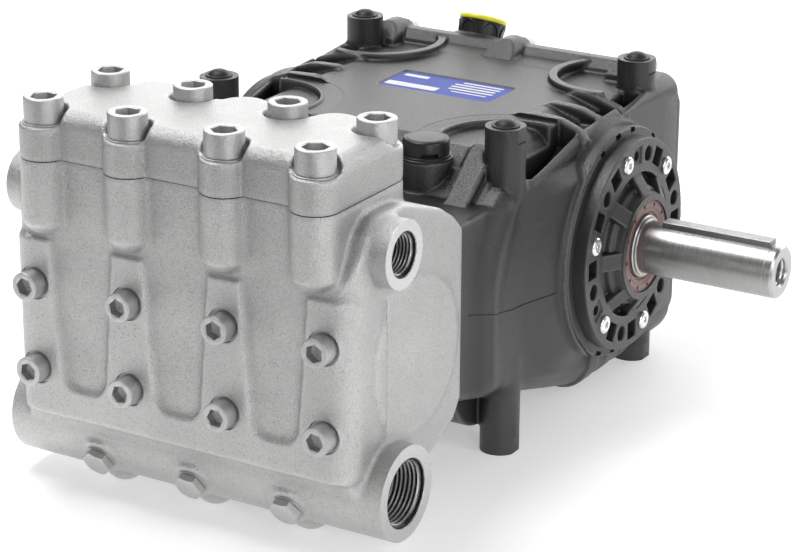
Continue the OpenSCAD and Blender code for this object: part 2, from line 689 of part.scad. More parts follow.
pump_head();
valve_cover();
cover_screws_front();
cover_screws_rear();
head_screws_upper();
head_screws_lower();
drain_plugs();
crankcase();
rear_cover();
rear_cover_screws();
drive_flange();
blind_flange();
drive_flange_screws();
blind_flange_screws();
shaft_seal();
wear_ring();
crankshaft();
shaft_key();
breather_cap();
breather_ring();
filler_cap_body();
filler_cap_top();
data_plate();
sight_glass_frame();
sight_glass();
oil_drain_plug();
post_plug_left_front();
post_plug_left_rear();
post_plug_right_front();
post_plug_right_rear();
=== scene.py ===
# Triplex plunger pump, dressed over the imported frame: castings, screws, ports, drive end and small parts
import json
import math

import bmesh
import bpy
import numpy as np
from mathutils import Matrix, Vector
from mathutils.bvhtree import BVHTree


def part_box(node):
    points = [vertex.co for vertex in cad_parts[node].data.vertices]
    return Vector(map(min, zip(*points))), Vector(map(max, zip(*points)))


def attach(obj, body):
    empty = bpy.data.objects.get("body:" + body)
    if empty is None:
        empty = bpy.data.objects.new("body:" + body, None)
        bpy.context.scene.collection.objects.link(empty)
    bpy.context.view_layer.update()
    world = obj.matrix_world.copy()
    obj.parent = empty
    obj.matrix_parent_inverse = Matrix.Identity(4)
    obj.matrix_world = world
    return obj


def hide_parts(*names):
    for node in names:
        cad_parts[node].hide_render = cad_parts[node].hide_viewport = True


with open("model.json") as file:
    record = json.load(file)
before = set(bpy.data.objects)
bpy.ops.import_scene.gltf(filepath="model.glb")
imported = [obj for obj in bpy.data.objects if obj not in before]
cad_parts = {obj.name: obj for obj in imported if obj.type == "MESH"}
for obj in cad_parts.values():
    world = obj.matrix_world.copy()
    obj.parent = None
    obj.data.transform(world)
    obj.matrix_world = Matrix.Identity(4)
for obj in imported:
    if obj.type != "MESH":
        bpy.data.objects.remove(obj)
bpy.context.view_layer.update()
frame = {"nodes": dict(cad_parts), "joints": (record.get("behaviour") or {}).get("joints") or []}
nodes = frame["nodes"]
mm = 0.001
crankAt = Vector(frame["joints"][0]["pos_m"]) / mm  # the crankshaft's axis in the frame, in mm


# Shader maths

class Socket:
    # wraps an output, so that an expression on sockets adds Math nodes
    def __init__(self, mat, out):
        self.mat, self.out = mat, out

    def calc(self, operation, *values, clamp=False):
        return self.mat.node("ShaderNodeMath", {"operation": operation, "use_clamp": clamp},
                             {i: v for i, v in enumerate(values)})

    def __add__(self, other): return self.calc("ADD", self, other)
    def __radd__(self, other): return self.calc("ADD", other, self)
    def __sub__(self, other): return self.calc("SUBTRACT", self, other)
    def __rsub__(self, other): return self.calc("SUBTRACT", other, self)
    def __mul__(self, other): return self.calc("MULTIPLY", self, other)
    def __rmul__(self, other): return self.calc("MULTIPLY", other, self)
    def __gt__(self, other): return self.calc("GREATER_THAN", self, other)
    def __lt__(self, other): return self.calc("LESS_THAN", self, other)
    def __abs__(self): return self.calc("ABSOLUTE", self)
    def clipped(self): return self.calc("ADD", self, 0.0, clamp=True)


class Finish:
    # one material: node() adds any node, surface() sets the shader
    def __init__(self, name):
        self.material = bpy.data.materials.new(name)
        self.material.use_nodes = True
        self.tree = self.material.node_tree
        self.shader = self.tree.nodes["Principled BSDF"]
        self.place = Socket(self, self.tree.nodes.new("ShaderNodeTexCoord").outputs["Object"])

    def node(self, kind, settings=None, inputs=None, out=0):
        made = self.tree.nodes.new(kind)
        for key, value in (settings or {}).items():
            setattr(made, key, value)
        self.feed(made, inputs or {})
        return Socket(self, made.outputs[out])

    def feed(self, made, inputs):
        # a socket is linked, a plain value is set
        for key, value in inputs.items():
            if isinstance(value, Socket):
                self.tree.links.new(value.out, made.inputs[key])
            else:
                made.inputs[key].default_value = value

    def noise(self, scale, detail, rough, stretch=None):
        at = self.place
        if stretch:
            at = self.node("ShaderNodeMapping", {}, {"Vector": at, "Scale": stretch})
        return self.node("ShaderNodeTexNoise", {},
                         {"Vector": at, "Scale": scale, "Detail": detail, "Roughness": rough})

    def axes(self):
        parts = self.node("ShaderNodeSeparateXYZ", {}, {0: self.place}).out.node.outputs
        return [Socket(self, parts[i]) for i in range(3)]

    def between(self, value, low, high, lowTo=0.0, highTo=1.0):
        return self.node("ShaderNodeMapRange", {"clamp": True},
                         {"Value": value, "From Min": low, "From Max": high, "To Min": lowTo, "To Max": highTo})

    def mixed(self, factor, a, b):
        # colours are mixed by a Mix node, which keeps them coloured
        return self.node("ShaderNodeMix", {"data_type": "RGBA", "clamp_result": True}, {0: factor, 6: a, 7: b}, out=2)

    def edges(self):
        # 1 along outer edges, 0 on flats, -1 in corners, from the mesh itself
        return self.node("ShaderNodeAttribute", {"attribute_name": "edge"}, {}, out="Fac")

    def surface(self, **values):
        self.feed(self.shader, {key.replace("_", " "): value for key, value in values.items()})
        return self.material

    def bump(self, height, strength, distance):
        return self.node("ShaderNodeBump", {}, {"Strength": strength, "Distance": distance, "Height": height})


def grey(value, warm=0.0):
    return (value * (1 + warm), value, value * (1 - warm), 1.0)


jointZ, jointY, backY = 106.0, 104.0, -192.0  # under the lid, at the rear cover, and between head and crankcase

castValues = {"base": 0.56, "dark": 0.49, "edge": 0.85, "deep": 0.16, "rough": 0.30, "grainSize": 1500, "grain": 0.0007,
              "metal": 0.95, "cutAt": 0.13494, "cutTone": 0.55, "wear": 0.35,
              "seam": (jointZ + crankAt[2]) * mm, "seamHalf": 0.00032}
noSeam = 9  # a seam's place far off the pump


def castFinish(name, values):
    # shot-blasted cast metal, paler on edges as wear and painted highlight, with painted shade in corners, smooth on
    # the faces cut across the x axis
    f = Finish(name)
    fine = f.noise(values["grainSize"], 2.0, 0.6)
    broad = f.noise(28.0, 4.0, 0.6)
    speck = f.noise(values["grainSize"] * 0.45, 3.0, 0.7)
    x, y, z = f.axes()
    cut = abs(x) > values["cutAt"]
    tone = f.mixed(f.between(broad, 0.3, 0.7), grey(values["dark"], 0.006), grey(values["base"], 0.006))
    tone = f.mixed(f.between(fine, 0.45, 0.65) * 0.4, tone, grey(values["edge"], 0.004))
    tone = f.mixed(f.between(speck, 0.56, 0.72) * 0.5, tone, grey(values["deep"], 0.004))
    # painted highlight together with wear on outer edges, then painted shade in corners and creases
    tone = f.mixed((f.edges() * values["wear"]).clipped(), tone, grey(values["edge"], 0.004))
    tone = f.mixed((f.edges() * -values["wear"]).clipped(), tone, grey(values["deep"], 0.004))
    tone = f.mixed(cut, tone, grey(values["cutTone"], 0.004))
    tone = f.mixed(abs(z - values["seam"]) < values["seamHalf"], tone, grey(0.02))
    rough = f.between(fine, 0.25, 0.75, values["rough"] - 0.06, values["rough"] + 0.12) - cut * 0.06
    return f.surface(Base_Color=tone, Metallic=values["metal"], Roughness=rough,
                     Normal=f.bump((fine + speck * 0.8) * (1.0 - cut), 0.8, values["grain"]))


coatedValues = {"base": 0.0155, "edgeWearAndHighlight": 0.11, "deep": 0.003, "rough": 0.37, "grainSize": 950, "grain": 0.0005,
                "shine": 0.64, "seam": (jointY + crankAt[1]) * mm, "seamHalf": 0.0003}


def coatedFinish(name, values):
    # a dark coat over cast grain, paler along edges as wear and painted highlight, with painted shade in corners
    f = Finish(name)
    fine = f.noise(values["grainSize"], 2.0, 0.6)
    broad = f.noise(22.0, 3.0, 0.5)
    tone = f.mixed(f.between(broad, 0.3, 0.7), grey(values["base"]), grey(values["base"] * 1.3))
    # pale edges are wear and painted highlight, dark corners are painted shade
    tone = f.mixed((f.edges() * 0.9).clipped(), tone, grey(values["edgeWearAndHighlight"]))
    tone = f.mixed((f.edges() * -1.2).clipped(), tone, grey(values["deep"]))
    tone = f.mixed(abs(f.axes()[1] - values["seam"]) < values["seamHalf"], tone, grey(0.0))
    rough = f.between(fine, 0.3, 0.7, values["rough"] - 0.06, values["rough"] + 0.1)
    return f.surface(Base_Color=tone, Metallic=0.0, Roughness=rough, Specular_IOR_Level=values["shine"],
                     Normal=f.bump(fine, 0.7, values["grain"]))


def steelFinish(name, base, rough, streak=(1.0, 1.0, 1.0), streakSize=300.0, relief=0.25):
    # ground or plated steel with fine lines, drawn out by streak
    f = Finish(name)
    lines = f.noise(streakSize, 4.0, 0.6, streak)
    cloud = f.noise(60.0, 3.0, 0.5)
    tone = f.mixed(f.between(cloud, 0.3, 0.7), grey(base * 0.92, 0.01), grey(base, 0.01))
    # painted highlight: paler along outer edges
    tone = f.mixed((f.edges() * 0.6).clipped(), tone, grey(min(base * 1.25, 0.95)))
    return f.surface(Base_Color=tone, Metallic=1.0, Roughness=f.between(lines, 0.3, 0.7, rough - 0.06, rough + 0.08),
                     Normal=f.bump(lines, relief, 0.00005))


def plainFinish(name, colour, rough, shine=0.5):
    # one colour with a faint cloud and a fine grain
    f = Finish(name)
    fine = f.noise(1500.0, 2.0, 0.5)
    cloud = f.noise(90.0, 3.0, 0.5)
    darker = tuple(c * 0.85 for c in colour[:3]) + (1.0,)
    return f.surface(Base_Color=f.mixed(f.between(cloud, 0.3, 0.7), darker, colour), Specular_IOR_Level=shine,
                     Roughness=f.between(fine, 0.3, 0.7, rough - 0.04, rough + 0.05), Normal=f.bump(fine, 0.3, 0.0001))


castHead = castFinish("bare_cast_head", castValues)
castLid = castFinish("bare_cast_lid", dict(castValues, base=0.47, dark=0.41, rough=0.36, grain=0.0006))
# painted shade: threads in bores are coloured dark for the shade inside, with painted shade in the roots and painted
# highlight on the crests
threadMetal = castFinish("threads", dict(castValues, base=0.12, dark=0.09, edge=0.8, deep=0.01, grain=0.0001, wear=1.0,
                                         seam=noSeam))
coatedCasting = coatedFinish("black_grey_coating", coatedValues)
flangeCoating = coatedFinish("black_flange_coating", dict(coatedValues, base=0.022, edgeWearAndHighlight=0.08, rough=0.36))
screwSteel = castFinish("zinc_screws", dict(castValues, dark=0.50, edge=0.8, deep=0.3, rough=0.36, grain=0.0004,
                                            cutAt=1.0, seam=noSeam))
shaftSteel = steelFinish("ground_shaft", 0.47, 0.30, (150.0, 1.0, 1.0), 14.0, 0.07)
keySteel = steelFinish("key_steel", 0.26, 0.34)
brightSteel = steelFinish("bright_screws", 0.85, 0.2)
sealRubber = plainFinish("seal_rubber", (0.22, 0.125, 0.11, 1.0), 0.42)
blackPlastic = plainFinish("black_plastic", grey(0.012), 0.38)
yellowPlastic = plainFinish("yellow_plastic", (0.93, 0.86, 0.03, 1.0), 0.35)
bluePlate = plainFinish("blue_plate", (0.035, 0.07, 0.42, 1.0), 0.5, shine=0.22)
paleInk = plainFinish("pale_fields", grey(0.8), 0.5, shine=0.2)
glass = plainFinish("sight_glass", (0.42, 0.30, 0.10, 1.0), 0.12)
blackGloss = plainFinish("black_cap", grey(0.014), 0.5)
# painted shade: near black for the floors of the seal's tick recesses, and the cut material of the ticks and of the
# breather's slot
deepBlack = plainFinish("deep_shade", grey(0.01), 0.7)
print("materials made")


# Mesh helpers

def gridFaces(rows, columns, ringRows=False, ringColumns=False):
    # the quads between neighbouring points of a rows by columns grid, numbered row by row
    i = np.arange(rows if ringRows else rows - 1)
    j = np.arange(columns if ringColumns else columns - 1)
    i, j = np.meshgrid(i, j, indexing="ij")
    down, right = (i + 1) % rows, (j + 1) % columns
    quads = [i * columns + j, i * columns + right, down * columns + right, down * columns + j]
    return np.stack(quads, axis=-1).reshape(-1, 4)


class Shape:
    # gathers grids of points and their faces, then makes one piece of them
    def __init__(self):
        self.points, self.faces, self.count = [], [], 0

    def add(self, points, faces):
        self.points.append(np.asarray(points, float).reshape(-1, 3))
        self.faces += [[i + self.count for i in face] for face in faces]
        self.count += len(self.points[-1])
        return self

    def grid(self, points, ringRows=False, ringColumns=False):
        rows, columns = points.shape[:2]
        return self.add(points.reshape(-1, 3), gridFaces(rows, columns, ringRows, ringColumns))

    def turned(self, rows, place, steps=72, closed=False):
        # rows of (radius or radii round the turn, height) turned about the z axis of place; closed joins the last
        # row to the first
        angle = np.linspace(0, 2 * np.pi, steps, endpoint=False)
        radius, height = [np.array([np.broadcast_to(row[k], steps) for row in rows], float) for k in (0, 1)]
        return self.grid(placed(polar(radius, angle, height), place), closed, True)

    def piece(self, name, material, sharp=35.0, merge=0.00001):
        mesh = bpy.data.meshes.new(name)
        mesh.from_pydata((np.concatenate(self.points) * mm).tolist(), [], self.faces)
        return finished(mesh, name, material, sharp, merge)

    def form(self, name, material, sharp=35.0):
        # the mesh alone, to be merged into another piece or cut
        made = self.piece(name, material, sharp)
        mesh = made.data.copy()
        bpy.data.objects.remove(made)
        return mesh


def placed(points, place):
    # points turned and moved by a place's matrix
    m = np.array(place, float)
    return points @ m[:3, :3].T + m[:3, 3]


def polar(radius, angle, height):
    # x = radius cos(angle), y = radius sin(angle), z = height
    return np.stack(np.broadcast_arrays(radius * np.cos(angle), radius * np.sin(angle), height), axis=-1)


def shown(name, data):
    made = bpy.data.objects.new(name, data)
    bpy.context.scene.collection.objects.link(made)
    return made


def finished(mesh, name, material, sharp=35.0, merge=0.00001):
    # doubles merged, faces turned outwards, smooth but for edges over sharp degrees
    bm = bmesh.new()
    bm.from_mesh(mesh)
    bmesh.ops.remove_doubles(bm, verts=bm.verts, dist=merge)
    bmesh.ops.dissolve_degenerate(bm, edges=bm.edges, dist=merge / 2)
    bmesh.ops.recalc_face_normals(bm, faces=bm.faces)
    bm.to_mesh(mesh)
    bm.free()
    mesh.polygons.foreach_set("use_smooth", [True] * len(mesh.polygons))
    mesh.set_sharp_from_angle(angle=math.radians(sharp))
    mesh.materials.clear()
    mesh.materials.append(material)
    return shown(name, mesh)


def handed(made, body, slotName, *replaced):
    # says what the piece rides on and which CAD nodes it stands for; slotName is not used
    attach(made, body)
    if replaced:
        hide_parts(*replaced)
    return made


def dressed(shape, name, material, slotName, *replaced, body="housing", sharp=35.0, merge=0.00001):
    return handed(shape.piece(name, material, sharp, merge), body, slotName, *replaced)


def along(x, y, z, direction=(0, 0, 1), turn=0.0):
    # a place in the crankshaft's coordinates whose z axis points along direction
    towards = Vector(direction).normalized()
    turned = towards.to_track_quat("Z", "Y").to_matrix().to_4x4() @ Matrix.Rotation(turn, 4, "Z")
    return Matrix.Translation(Vector((x, y, z)) + crankAt) @ turned


def nodeCopy(nodeName):
    # the CAD node's surface as a mesh of its own, points merged
    mesh = nodes[nodeName].data.copy()
    mesh.materials.clear()
    bm = bmesh.new()
    bm.from_mesh(mesh)
    bm.transform(nodes[nodeName].matrix_world)
    bmesh.ops.remove_doubles(bm, verts=bm.verts, dist=0.000002)
    bm.normal_update()
    bm.to_mesh(mesh)
    bm.free()
    return mesh


def applied(mesh, name, kind, **settings):
    # one modifier's result as a new mesh
    raw = shown(name + "_raw", mesh)
    step = raw.modifiers.new("step", kind)
    for key, value in settings.items():
        setattr(step, key, value)
    made = bpy.data.meshes.new_from_object(raw.evaluated_get(bpy.context.evaluated_depsgraph_get()))
    made.name = name
    bpy.data.objects.remove(raw)
    return made


def carved(mesh, name, cutter, material, operation="DIFFERENCE"):
    # the mesh less a shape, or what the two share
    tool = cutter.piece(name + "_cutter", material)
    made = applied(mesh, name, "BOOLEAN", operation=operation, object=tool, solver="MANIFOLD")
    bpy.data.objects.remove(tool)
    return made


def meshArrays(mesh):
    # the points, and the two ends of each edge
    co = np.empty(len(mesh.vertices) * 3, np.float32)
    mesh.vertices.foreach_get("co", co)
    ends = np.empty(len(mesh.edges) * 2, np.int32)
    mesh.edges.foreach_get("vertices", ends)
    return co.reshape(-1, 3).astype(float), ends.reshape(-1, 2)


def moved(mesh, co):
    mesh.vertices.foreach_set("co", co.astype(np.float32).ravel())
    mesh.update()


def edgeTone(mesh, value):
    # the attribute that the finishes read as edge wear with painted highlight where positive, and as painted shade
    # where negative
    layer = mesh.attributes.new("edge", "FLOAT", "POINT")
    layer.data.foreach_set("value", value.astype(np.float32))


def neighbourMean(values, ends, many):
    # for each point the mean of the points that its edges lead to
    total = np.zeros_like(values)
    for a, b in ((0, 1), (1, 0)):
        for k in range(values.shape[1]):
            total[:, k] += np.bincount(ends[:, a], values[ends[:, b], k], len(values))
    return total / many[:, None]


wearAndShadeGain = 9.0  # edge value for each mean edge length that a point stands out


def rubbed(mesh, rounds, softer=None, seams=()):
    # each point moves half way to the mean of its neighbours, for some rounds; softer gives the share of extra
    # rounds by place and how far walls then swell along x; seams are shallow grooves at a place along an axis
    co, ends = meshArrays(mesh)
    many = np.maximum(np.bincount(ends.ravel(), minlength=len(co)), 1).astype(float)
    for step in range(rounds):
        co += 0.5 * (neighbourMean(co, ends, many) - co)
    if softer:
        share = softer["where"](co / mm - np.array(crankAt))[:, None]
        for step in range(softer["rounds"]):
            co += 0.5 * share * (neighbourMean(co, ends, many) - co)
    moved(mesh, co)
    normal = np.empty(len(co) * 3, np.float32)
    mesh.vertices.foreach_get("normal", normal)
    normal = normal.reshape(-1, 3)
    if softer:
        co[:, 0] += softer["swell"](co / mm - np.array(crankAt)) * mm
    for axis, at, wide, deep in seams:
        near = np.clip(1 - np.abs(co[:, axis] / mm - crankAt[axis] - at) / wide, 0, 1)
        inward = normal.copy()
        inward[:, axis] = 0
        co -= inward * (near * deep * mm)[:, None]
    moved(mesh, co)
    # how far each point stands out from its neighbours: the edge value, read as wear and painted highlight where
    # positive and as painted shade in corners where negative
    out = ((co - neighbourMean(co, ends, many)) * normal).sum(1)
    reach = np.linalg.norm(co[ends[:, 0]] - co[ends[:, 1]], axis=1).mean()
    value = (out / reach)[:, None]
    for step in range(3):
        value = 0.5 * value + 0.5 * neighbourMean(value, ends, many)
    edgeTone(mesh, np.clip(value[:, 0] * wearAndShadeGain, -1, 1))


def flatSide(side, low, high):
    # a side such as "+x": its axis, its sign and its place along the axis
    axis, sign = "xyz".index(side[1]), 1 if side[0] == "+" else -1
    return axis, sign, (high if sign > 0 else low)[axis]


def stretchedFlats(mesh, low, high, flats, by):
    # the outer flat faces named by flats are drawn out, so that a later cut leaves their edges crisp
    bm = bmesh.new()
    bm.from_mesh(mesh)
    for side in flats:
        axis, sign, at = flatSide(side, low, high)
        found = [f for f in bm.faces if f.normal[axis] * sign > 0.999
                 and all(abs(v.co[axis] - at) < 0.00002 for v in f.verts)]
        if not found:
            continue
        made = bmesh.ops.extrude_face_region(bm, geom=found)
        shift = Vector((0, 0, 0))
        shift[axis] = sign * by * mm
        bmesh.ops.translate(bm, verts=[g for g in made["geom"] if isinstance(g, bmesh.types.BMVert)], vec=shift)
        bmesh.ops.delete(bm, geom=[f for f in found if f.is_valid], context="FACES_ONLY")
    bm.to_mesh(mesh)
    bm.free()


def boxShape(shape, low, high):
    x, y, z = zip(low, high)
    points = [(x[i], y[j], z[k]) for i in (0, 1) for j in (0, 1) for k in (0, 1)]
    faces = [(0, 1, 3, 2), (4, 6, 7, 5), (0, 4, 5, 1), (2, 3, 7, 6), (0, 2, 6, 4), (1, 5, 7, 3)]
    return shape.add(points, faces)


def rodShape(shape, place, r, start, end):
    return shape.turned([(0, start), (r, start), (r, end), (0, end)], place, 48)


def hexRadius(flat, angle):
    # distance from the centre to a hexagon's side at an angle
    return flat / 2 / np.cos((angle + np.pi / 6) % (np.pi / 3) - np.pi / 6)


def lofted(shape, rows, place):
    # rows of (outline in the place's x and y, height) joined into a skin
    points = np.stack([np.column_stack([r, np.full(len(r), float(z))]) for r, z in rows])
    return shape.grid(placed(points, place), ringColumns=True)


def prismShape(shape, outline, low, high, place):
    # an outline carried along the place's z, its ends closed to the middle
    ring = np.array(outline, float)
    middle = np.broadcast_to(ring.mean(axis=0), ring.shape)
    return lofted(shape, [(middle, low), (ring, low), (ring, high), (middle, high)], place)


def sweptShape(shape, section, stations, place):
    # a ring of (x, rise) carried through stations of (y, z), its ends closed to the middle
    ring = np.array(section, float)
    middle = np.broadcast_to(ring.mean(axis=0), ring.shape)
    rings = [middle] + [ring] * len(stations) + [middle]
    stations = [stations[0]] + list(stations) + [stations[-1]]
    rows = [np.column_stack([r[:, 0], np.full(len(ring), float(y)), r[:, 1] + z]) for r, (y, z) in zip(rings, stations)]
    return shape.grid(placed(np.stack(rows), place), ringColumns=True)


def tubeShape(shape, path, outward, radius, steps=10):
    # a round bead along a path of points, its ends closed; outward points away from the surface it lies on
    path, outward = np.asarray(path, float), np.asarray(outward, float)
    run = np.gradient(path, axis=0)
    run /= np.linalg.norm(run, axis=1)[:, None]
    across = np.cross(run, outward)
    across /= np.linalg.norm(across, axis=1)[:, None]
    upward = np.cross(across, run)
    angle = np.linspace(0, 2 * np.pi, steps, endpoint=False)[None, :, None]
    ring = path[:, None] + radius * (np.cos(angle) * across[:, None] + np.sin(angle) * upward[:, None])
    ends = [np.broadcast_to(path[k], (1, steps, 3)) for k in (0, -1)]
    return shape.grid(np.concatenate([ends[0], ring, ends[1]]), ringColumns=True)


def wheelPlace(side, degrees):
    # x outwards along a radius of the crankshaft's wheel, y along the shaft to that side
    a = math.radians(degrees)
    radial, axis = Vector((0, math.cos(a), math.sin(a))), Vector((side, 0, 0))
    turned = Matrix((radial, axis, radial.cross(axis))).transposed().to_4x4()
    return Matrix.Translation(crankAt) @ turned


def boltPlace(side, degrees, x=0.0, turn=0.0):
    # a place on the flanges' bolt circle, its z axis out along the shaft
    a = math.radians(degrees)
    return along(side * x, pump["flangeBolt"] * math.cos(a), pump["flangeBolt"] * math.sin(a), (side, 0, 0), turn)


cutting = {"drawn": 6, "far": 400, "deep": 40}  # how far flats are drawn out, and the cutting slabs' reach and depth


def softCasting(name, nodeName, v, material, extra=None, cuts=None, softer=None):
    # the node's solid and any added forms, merged on a fine grid and rubbed smooth as a casting is,
    # thinned, then cut flat at its joints and drilled
    mesh = nodeCopy(nodeName)
    low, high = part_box(nodeName)
    stretchedFlats(mesh, low, high, v["flats"], cutting["drawn"])
    if extra:
        bm = bmesh.new()
        bm.from_mesh(mesh)
        for other in extra:
            bm.from_mesh(other)
        bm.to_mesh(mesh)
        bm.free()
    mesh = applied(mesh, name, "REMESH", mode="VOXEL", voxel_size=v["voxel"] * mm)
    rubbed(mesh, v["rounds"], softer, v.get("seams", ()))
    count = sum(len(p.vertices) - 2 for p in mesh.polygons)
    if count > v["most"]:
        mesh = applied(mesh, name, "DECIMATE", ratio=v["most"] / count)
    for side in v["flats"]:
        axis, sign, at = flatSide(side, low, high)
        corners = [[-cutting["far"]] * 3, [cutting["far"]] * 3]
        corners[0][axis], corners[1][axis] = sorted((at / mm, at / mm + sign * cutting["deep"]))
        mesh = carved(mesh, name, boxShape(Shape(), *corners), material)
    if cuts:
        mesh = carved(mesh, name, cuts, material)
    made = finished(mesh, name, material, 38.0, 0.000001)
    print(name, "triangles", sum(len(p.vertices) - 2 for p in mesh.polygons))
    return made


# Sizes that the scene's pieces share with the pump, in mm from the crankshaft's axis
pump = {
    "headFront": 316.0, "padOut": 3.2, "spotRadius": 10.8, "spotDepth": 2.0,
    "frontScrewX": (-103.5, -34.5, 34.5, 103.5), "frontScrewZ": (25.2, -29.8),
    "coverScrewX": (-95.4, -33.9, 33.9, 95.4), "coverScrewY": (-313.2, -246.9), "coverSeatZ": 127.0,
    "portFace": 135.0, "suctionAt": (-278.0, -74.0), "suctionBore": 20.95,
    "dischargeAt": (-282.0, 76.5), "dischargeBore": 13.22, "portDepth": 24.0,
    "plungerX": (-69.0, 0.0, 69.0), "drainSeat": 30.3, "drainTilt": 28.0,
    "flangeFace": 145.0, "flangeBolt": 60.5, "shaftRadius": 17.5, "shaftEnd": 249.5,
    "postX": 107.5, "postY": (-113.0, 71.0), "postTop": 105.0,
}
sides = (1, -1)

# Holes and cuts of the head
headCuts = Shape()
for side in sides:
    for port, inner in (("suction", 15.5), ("discharge", 9.5)):
        bore = pump[port + "Bore"]
        place = along(side * pump["portFace"], *pump[port + "At"], (-side, 0, 0))
        headCuts.turned([(0, -5), (bore + 0.9, -5), (bore + 0.9, 0), (bore + 0.1, 1.0), (bore + 0.1, pump["portDepth"]),
                         (inner, pump["portDepth"] + 4), (inner, 90), (0, 90)], place, 96)
headFill = Shape()
for x in pump["frontScrewX"]:
    for z in pump["frontScrewZ"]:
        front = -pump["headFront"] - pump["padOut"]
        rodShape(headFill, along(x, front, z, (0, 1, 0)), pump["spotRadius"] + 0.6, 0, 9)
        rodShape(headCuts, along(x, front, z, (0, 1, 0)), pump["spotRadius"], -6, pump["spotDepth"])

# for each casting: the fine grid's step, rounds of rubbing, most triangles, the sides cut flat, and seams as
# axis, place, half width and depth
castings = {
    "pump_head": ("head_casting", castHead, "cast_head",
                  {"voxel": 1.5, "rounds": 5, "most": 180000, "flats": ("+x", "-x", "+z", "+y"),
                   "seams": ((2, jointZ, 2.2, 0.5), (1, backY, 2.2, 0.5))}),
    "valve_cover": ("cover_casting", castLid, "cast_head",
                    {"voxel": 1.2, "rounds": 4, "most": 120000, "flats": ("-z",), "seams": ((2, jointZ, 2.2, 0.5),)}),
    "crankcase": ("crankcase_casting", coatedCasting, "coated_casting",
                  {"voxel": 1.1, "rounds": 2, "most": 190000, "seams": ((1, jointY, 1.6, 0.5),),
                   "flats": ("+x", "-x", "+y", "-y", "+z", "-z")}),
    "rear_cover": ("rear_cover_casting", coatedCasting, "coated_casting",
                   {"voxel": 1.5, "rounds": 3, "most": 90000, "flats": ("-y",), "seams": ((1, jointY, 2.0, 0.5),)}),
    "drive_flange": ("drive_flange_casting", flangeCoating, "coated_casting",
                     {"voxel": 0.65, "rounds": 3, "most": 120000, "flats": ("-x", "+x")}),
    "blind_flange": ("blind_flange_casting", flangeCoating, "coated_casting",
                     {"voxel": 0.65, "rounds": 3, "most": 110000, "flats": ("-x", "+x")}),
}


def caseRidge(at):
    # the broad rounded band at the front of the crankcase's sides: 1 inside it, and ramps of 4 or 8 mm to 0 round it
    x, y, z = np.abs(at[:, 0]), at[:, 1], at[:, 2]
    return np.clip((x - 108) / 4, 0, 1) * np.clip((y + 168) / 4, 0, 1) * np.clip((-98 - y) / 8, 0, 1) \
        * np.clip((68 - z) / 8, 0, 1)


def ease(t):
    # 0 to 1 along 3 t^2 - 2 t^3
    t = np.clip(t, 0, 1)
    return t ** 2 * (3 - 2 * t)


swell = {"rise": 9.0, "seat": 78.4, "reach": 124, "fall": 46, "band": 3.2, "bandHalf": 19}


def caseSwell(at):
    # how far the side walls stand out: a rise that grows from the reach in towards the bearing seat, and
    # band (1 - d^2)^2 over a strip whose middle runs along y = -153 + 28.5 (z / 66)^1.45
    x, y, z = at[:, 0], at[:, 1], at[:, 2]
    outer = ease((np.abs(x) - 104) / 10) * ease((68 - z) / 12)
    r = np.hypot(y, z)
    rise = swell["rise"] * ease((swell["reach"] - r) / swell["fall"]) * (r > swell["seat"])
    rise = rise * ease((-8 - y) / 34) * ease((z + 84) / 26)
    middle = -153 + 28.5 * np.clip(z / 66, 0, 1) ** 1.45
    d = np.clip(np.abs(y - middle) / swell["bandHalf"], 0, 1)
    band = swell["band"] * (1 - d ** 2) ** 2 * ease((z + 96) / 40)
    return np.sign(x) * outer * (rise + band)


flangeValues = {"rib": 11.5, "ribs": 8, "boss": 6.6, "bossHole": 3.4, "bossAt": (90, 210, 330),
                "holeAngles": range(15, 375, 60), "hole": 5.0, "chamfer": 0.7}


def flangeForms(side):
    # the hub's stepped cone, its ribs up to the hub's face, small bosses in three windows, and the holes
    forms, holes = Shape(), Shape()
    v, face = flangeValues, pump["flangeFace"]
    if side > 0:
        forms.turned([(34, 137), (45, 137), (43.5, 140.5), (41, 142), (40, 146), (37.5, 147.5), (36, 152.6),
                      (34, 152.6)], along(0, 0, 0, (side, 0, 0)), 128, closed=True)
    for k in range(v["ribs"]):
        top = 152.4 if side > 0 else 144.4
        prismShape(forms, [(34, 136.5), (50, 136.5), (50, 144.7), (48, 144.7), (36.5, top), (34, top)],
                   -v["rib"] / 2, v["rib"] / 2, wheelPlace(side, 360 / v["ribs"] * k))
    for angle in v["bossAt"]:
        prismShape(forms, [(53, 136), (68, 136), (68, 143.7), (53, 143.7)], -v["boss"], v["boss"],
                   wheelPlace(side, angle))
        holes.turned([(0, 137), (v["bossHole"], 137), (v["bossHole"], 150), (0, 150)], boltPlace(side, angle), 32)
    r, wide = v["hole"], v["hole"] + v["chamfer"]
    for angle in v["holeAngles"]:
        holes.turned([(0, 130), (r, 130), (r, face - v["chamfer"]), (wide, face), (wide, 150), (0, 150)],
                     boltPlace(side, angle), 40)
    return forms, holes


# The bearing seats' step round each flange, its cast slots, and the flats on posts and feet
caseForms, caseCuts = Shape(), Shape()
# slots: radius, angle and half their length
slotPlaces = ((75.6, 98, 3.4), (75.6, 115, 2.6), (75.6, 82, 3.0), (76, 56, 3.2), (76, -97, 3.0), (76, -113, 3.6))
for side in sides:
    caseForms.turned([(60, 100), (78, 100), (77.8, 133), (76.8, 135.6), (73.8, 136.2), (73.5, 141.5), (60, 141.5)],
                     along(0, 0, 0, (side, 0, 0)), 160, closed=True)
    for r, angle, half in slotPlaces:
        prismShape(caseCuts, [(r - 1.7, 126), (r + 1.4, 126), (r + 1.5, 150), (r - 1.7, 150)], -half, half,
                   wheelPlace(side, angle))
    for y, low, high in ((-113, 95.5, 112), (71, 95.5, 112), (-116, -118, -100), (75, -118, -100)):
        x = pump["postX"] + (11.7 if low > 0 else 13.2)
        near, far = sorted((side * x, side * (x + 9)))
        boxShape(caseCuts, Vector((near, y - 9, low)) + crankAt, Vector((far, y + 9, high)) + crankAt)

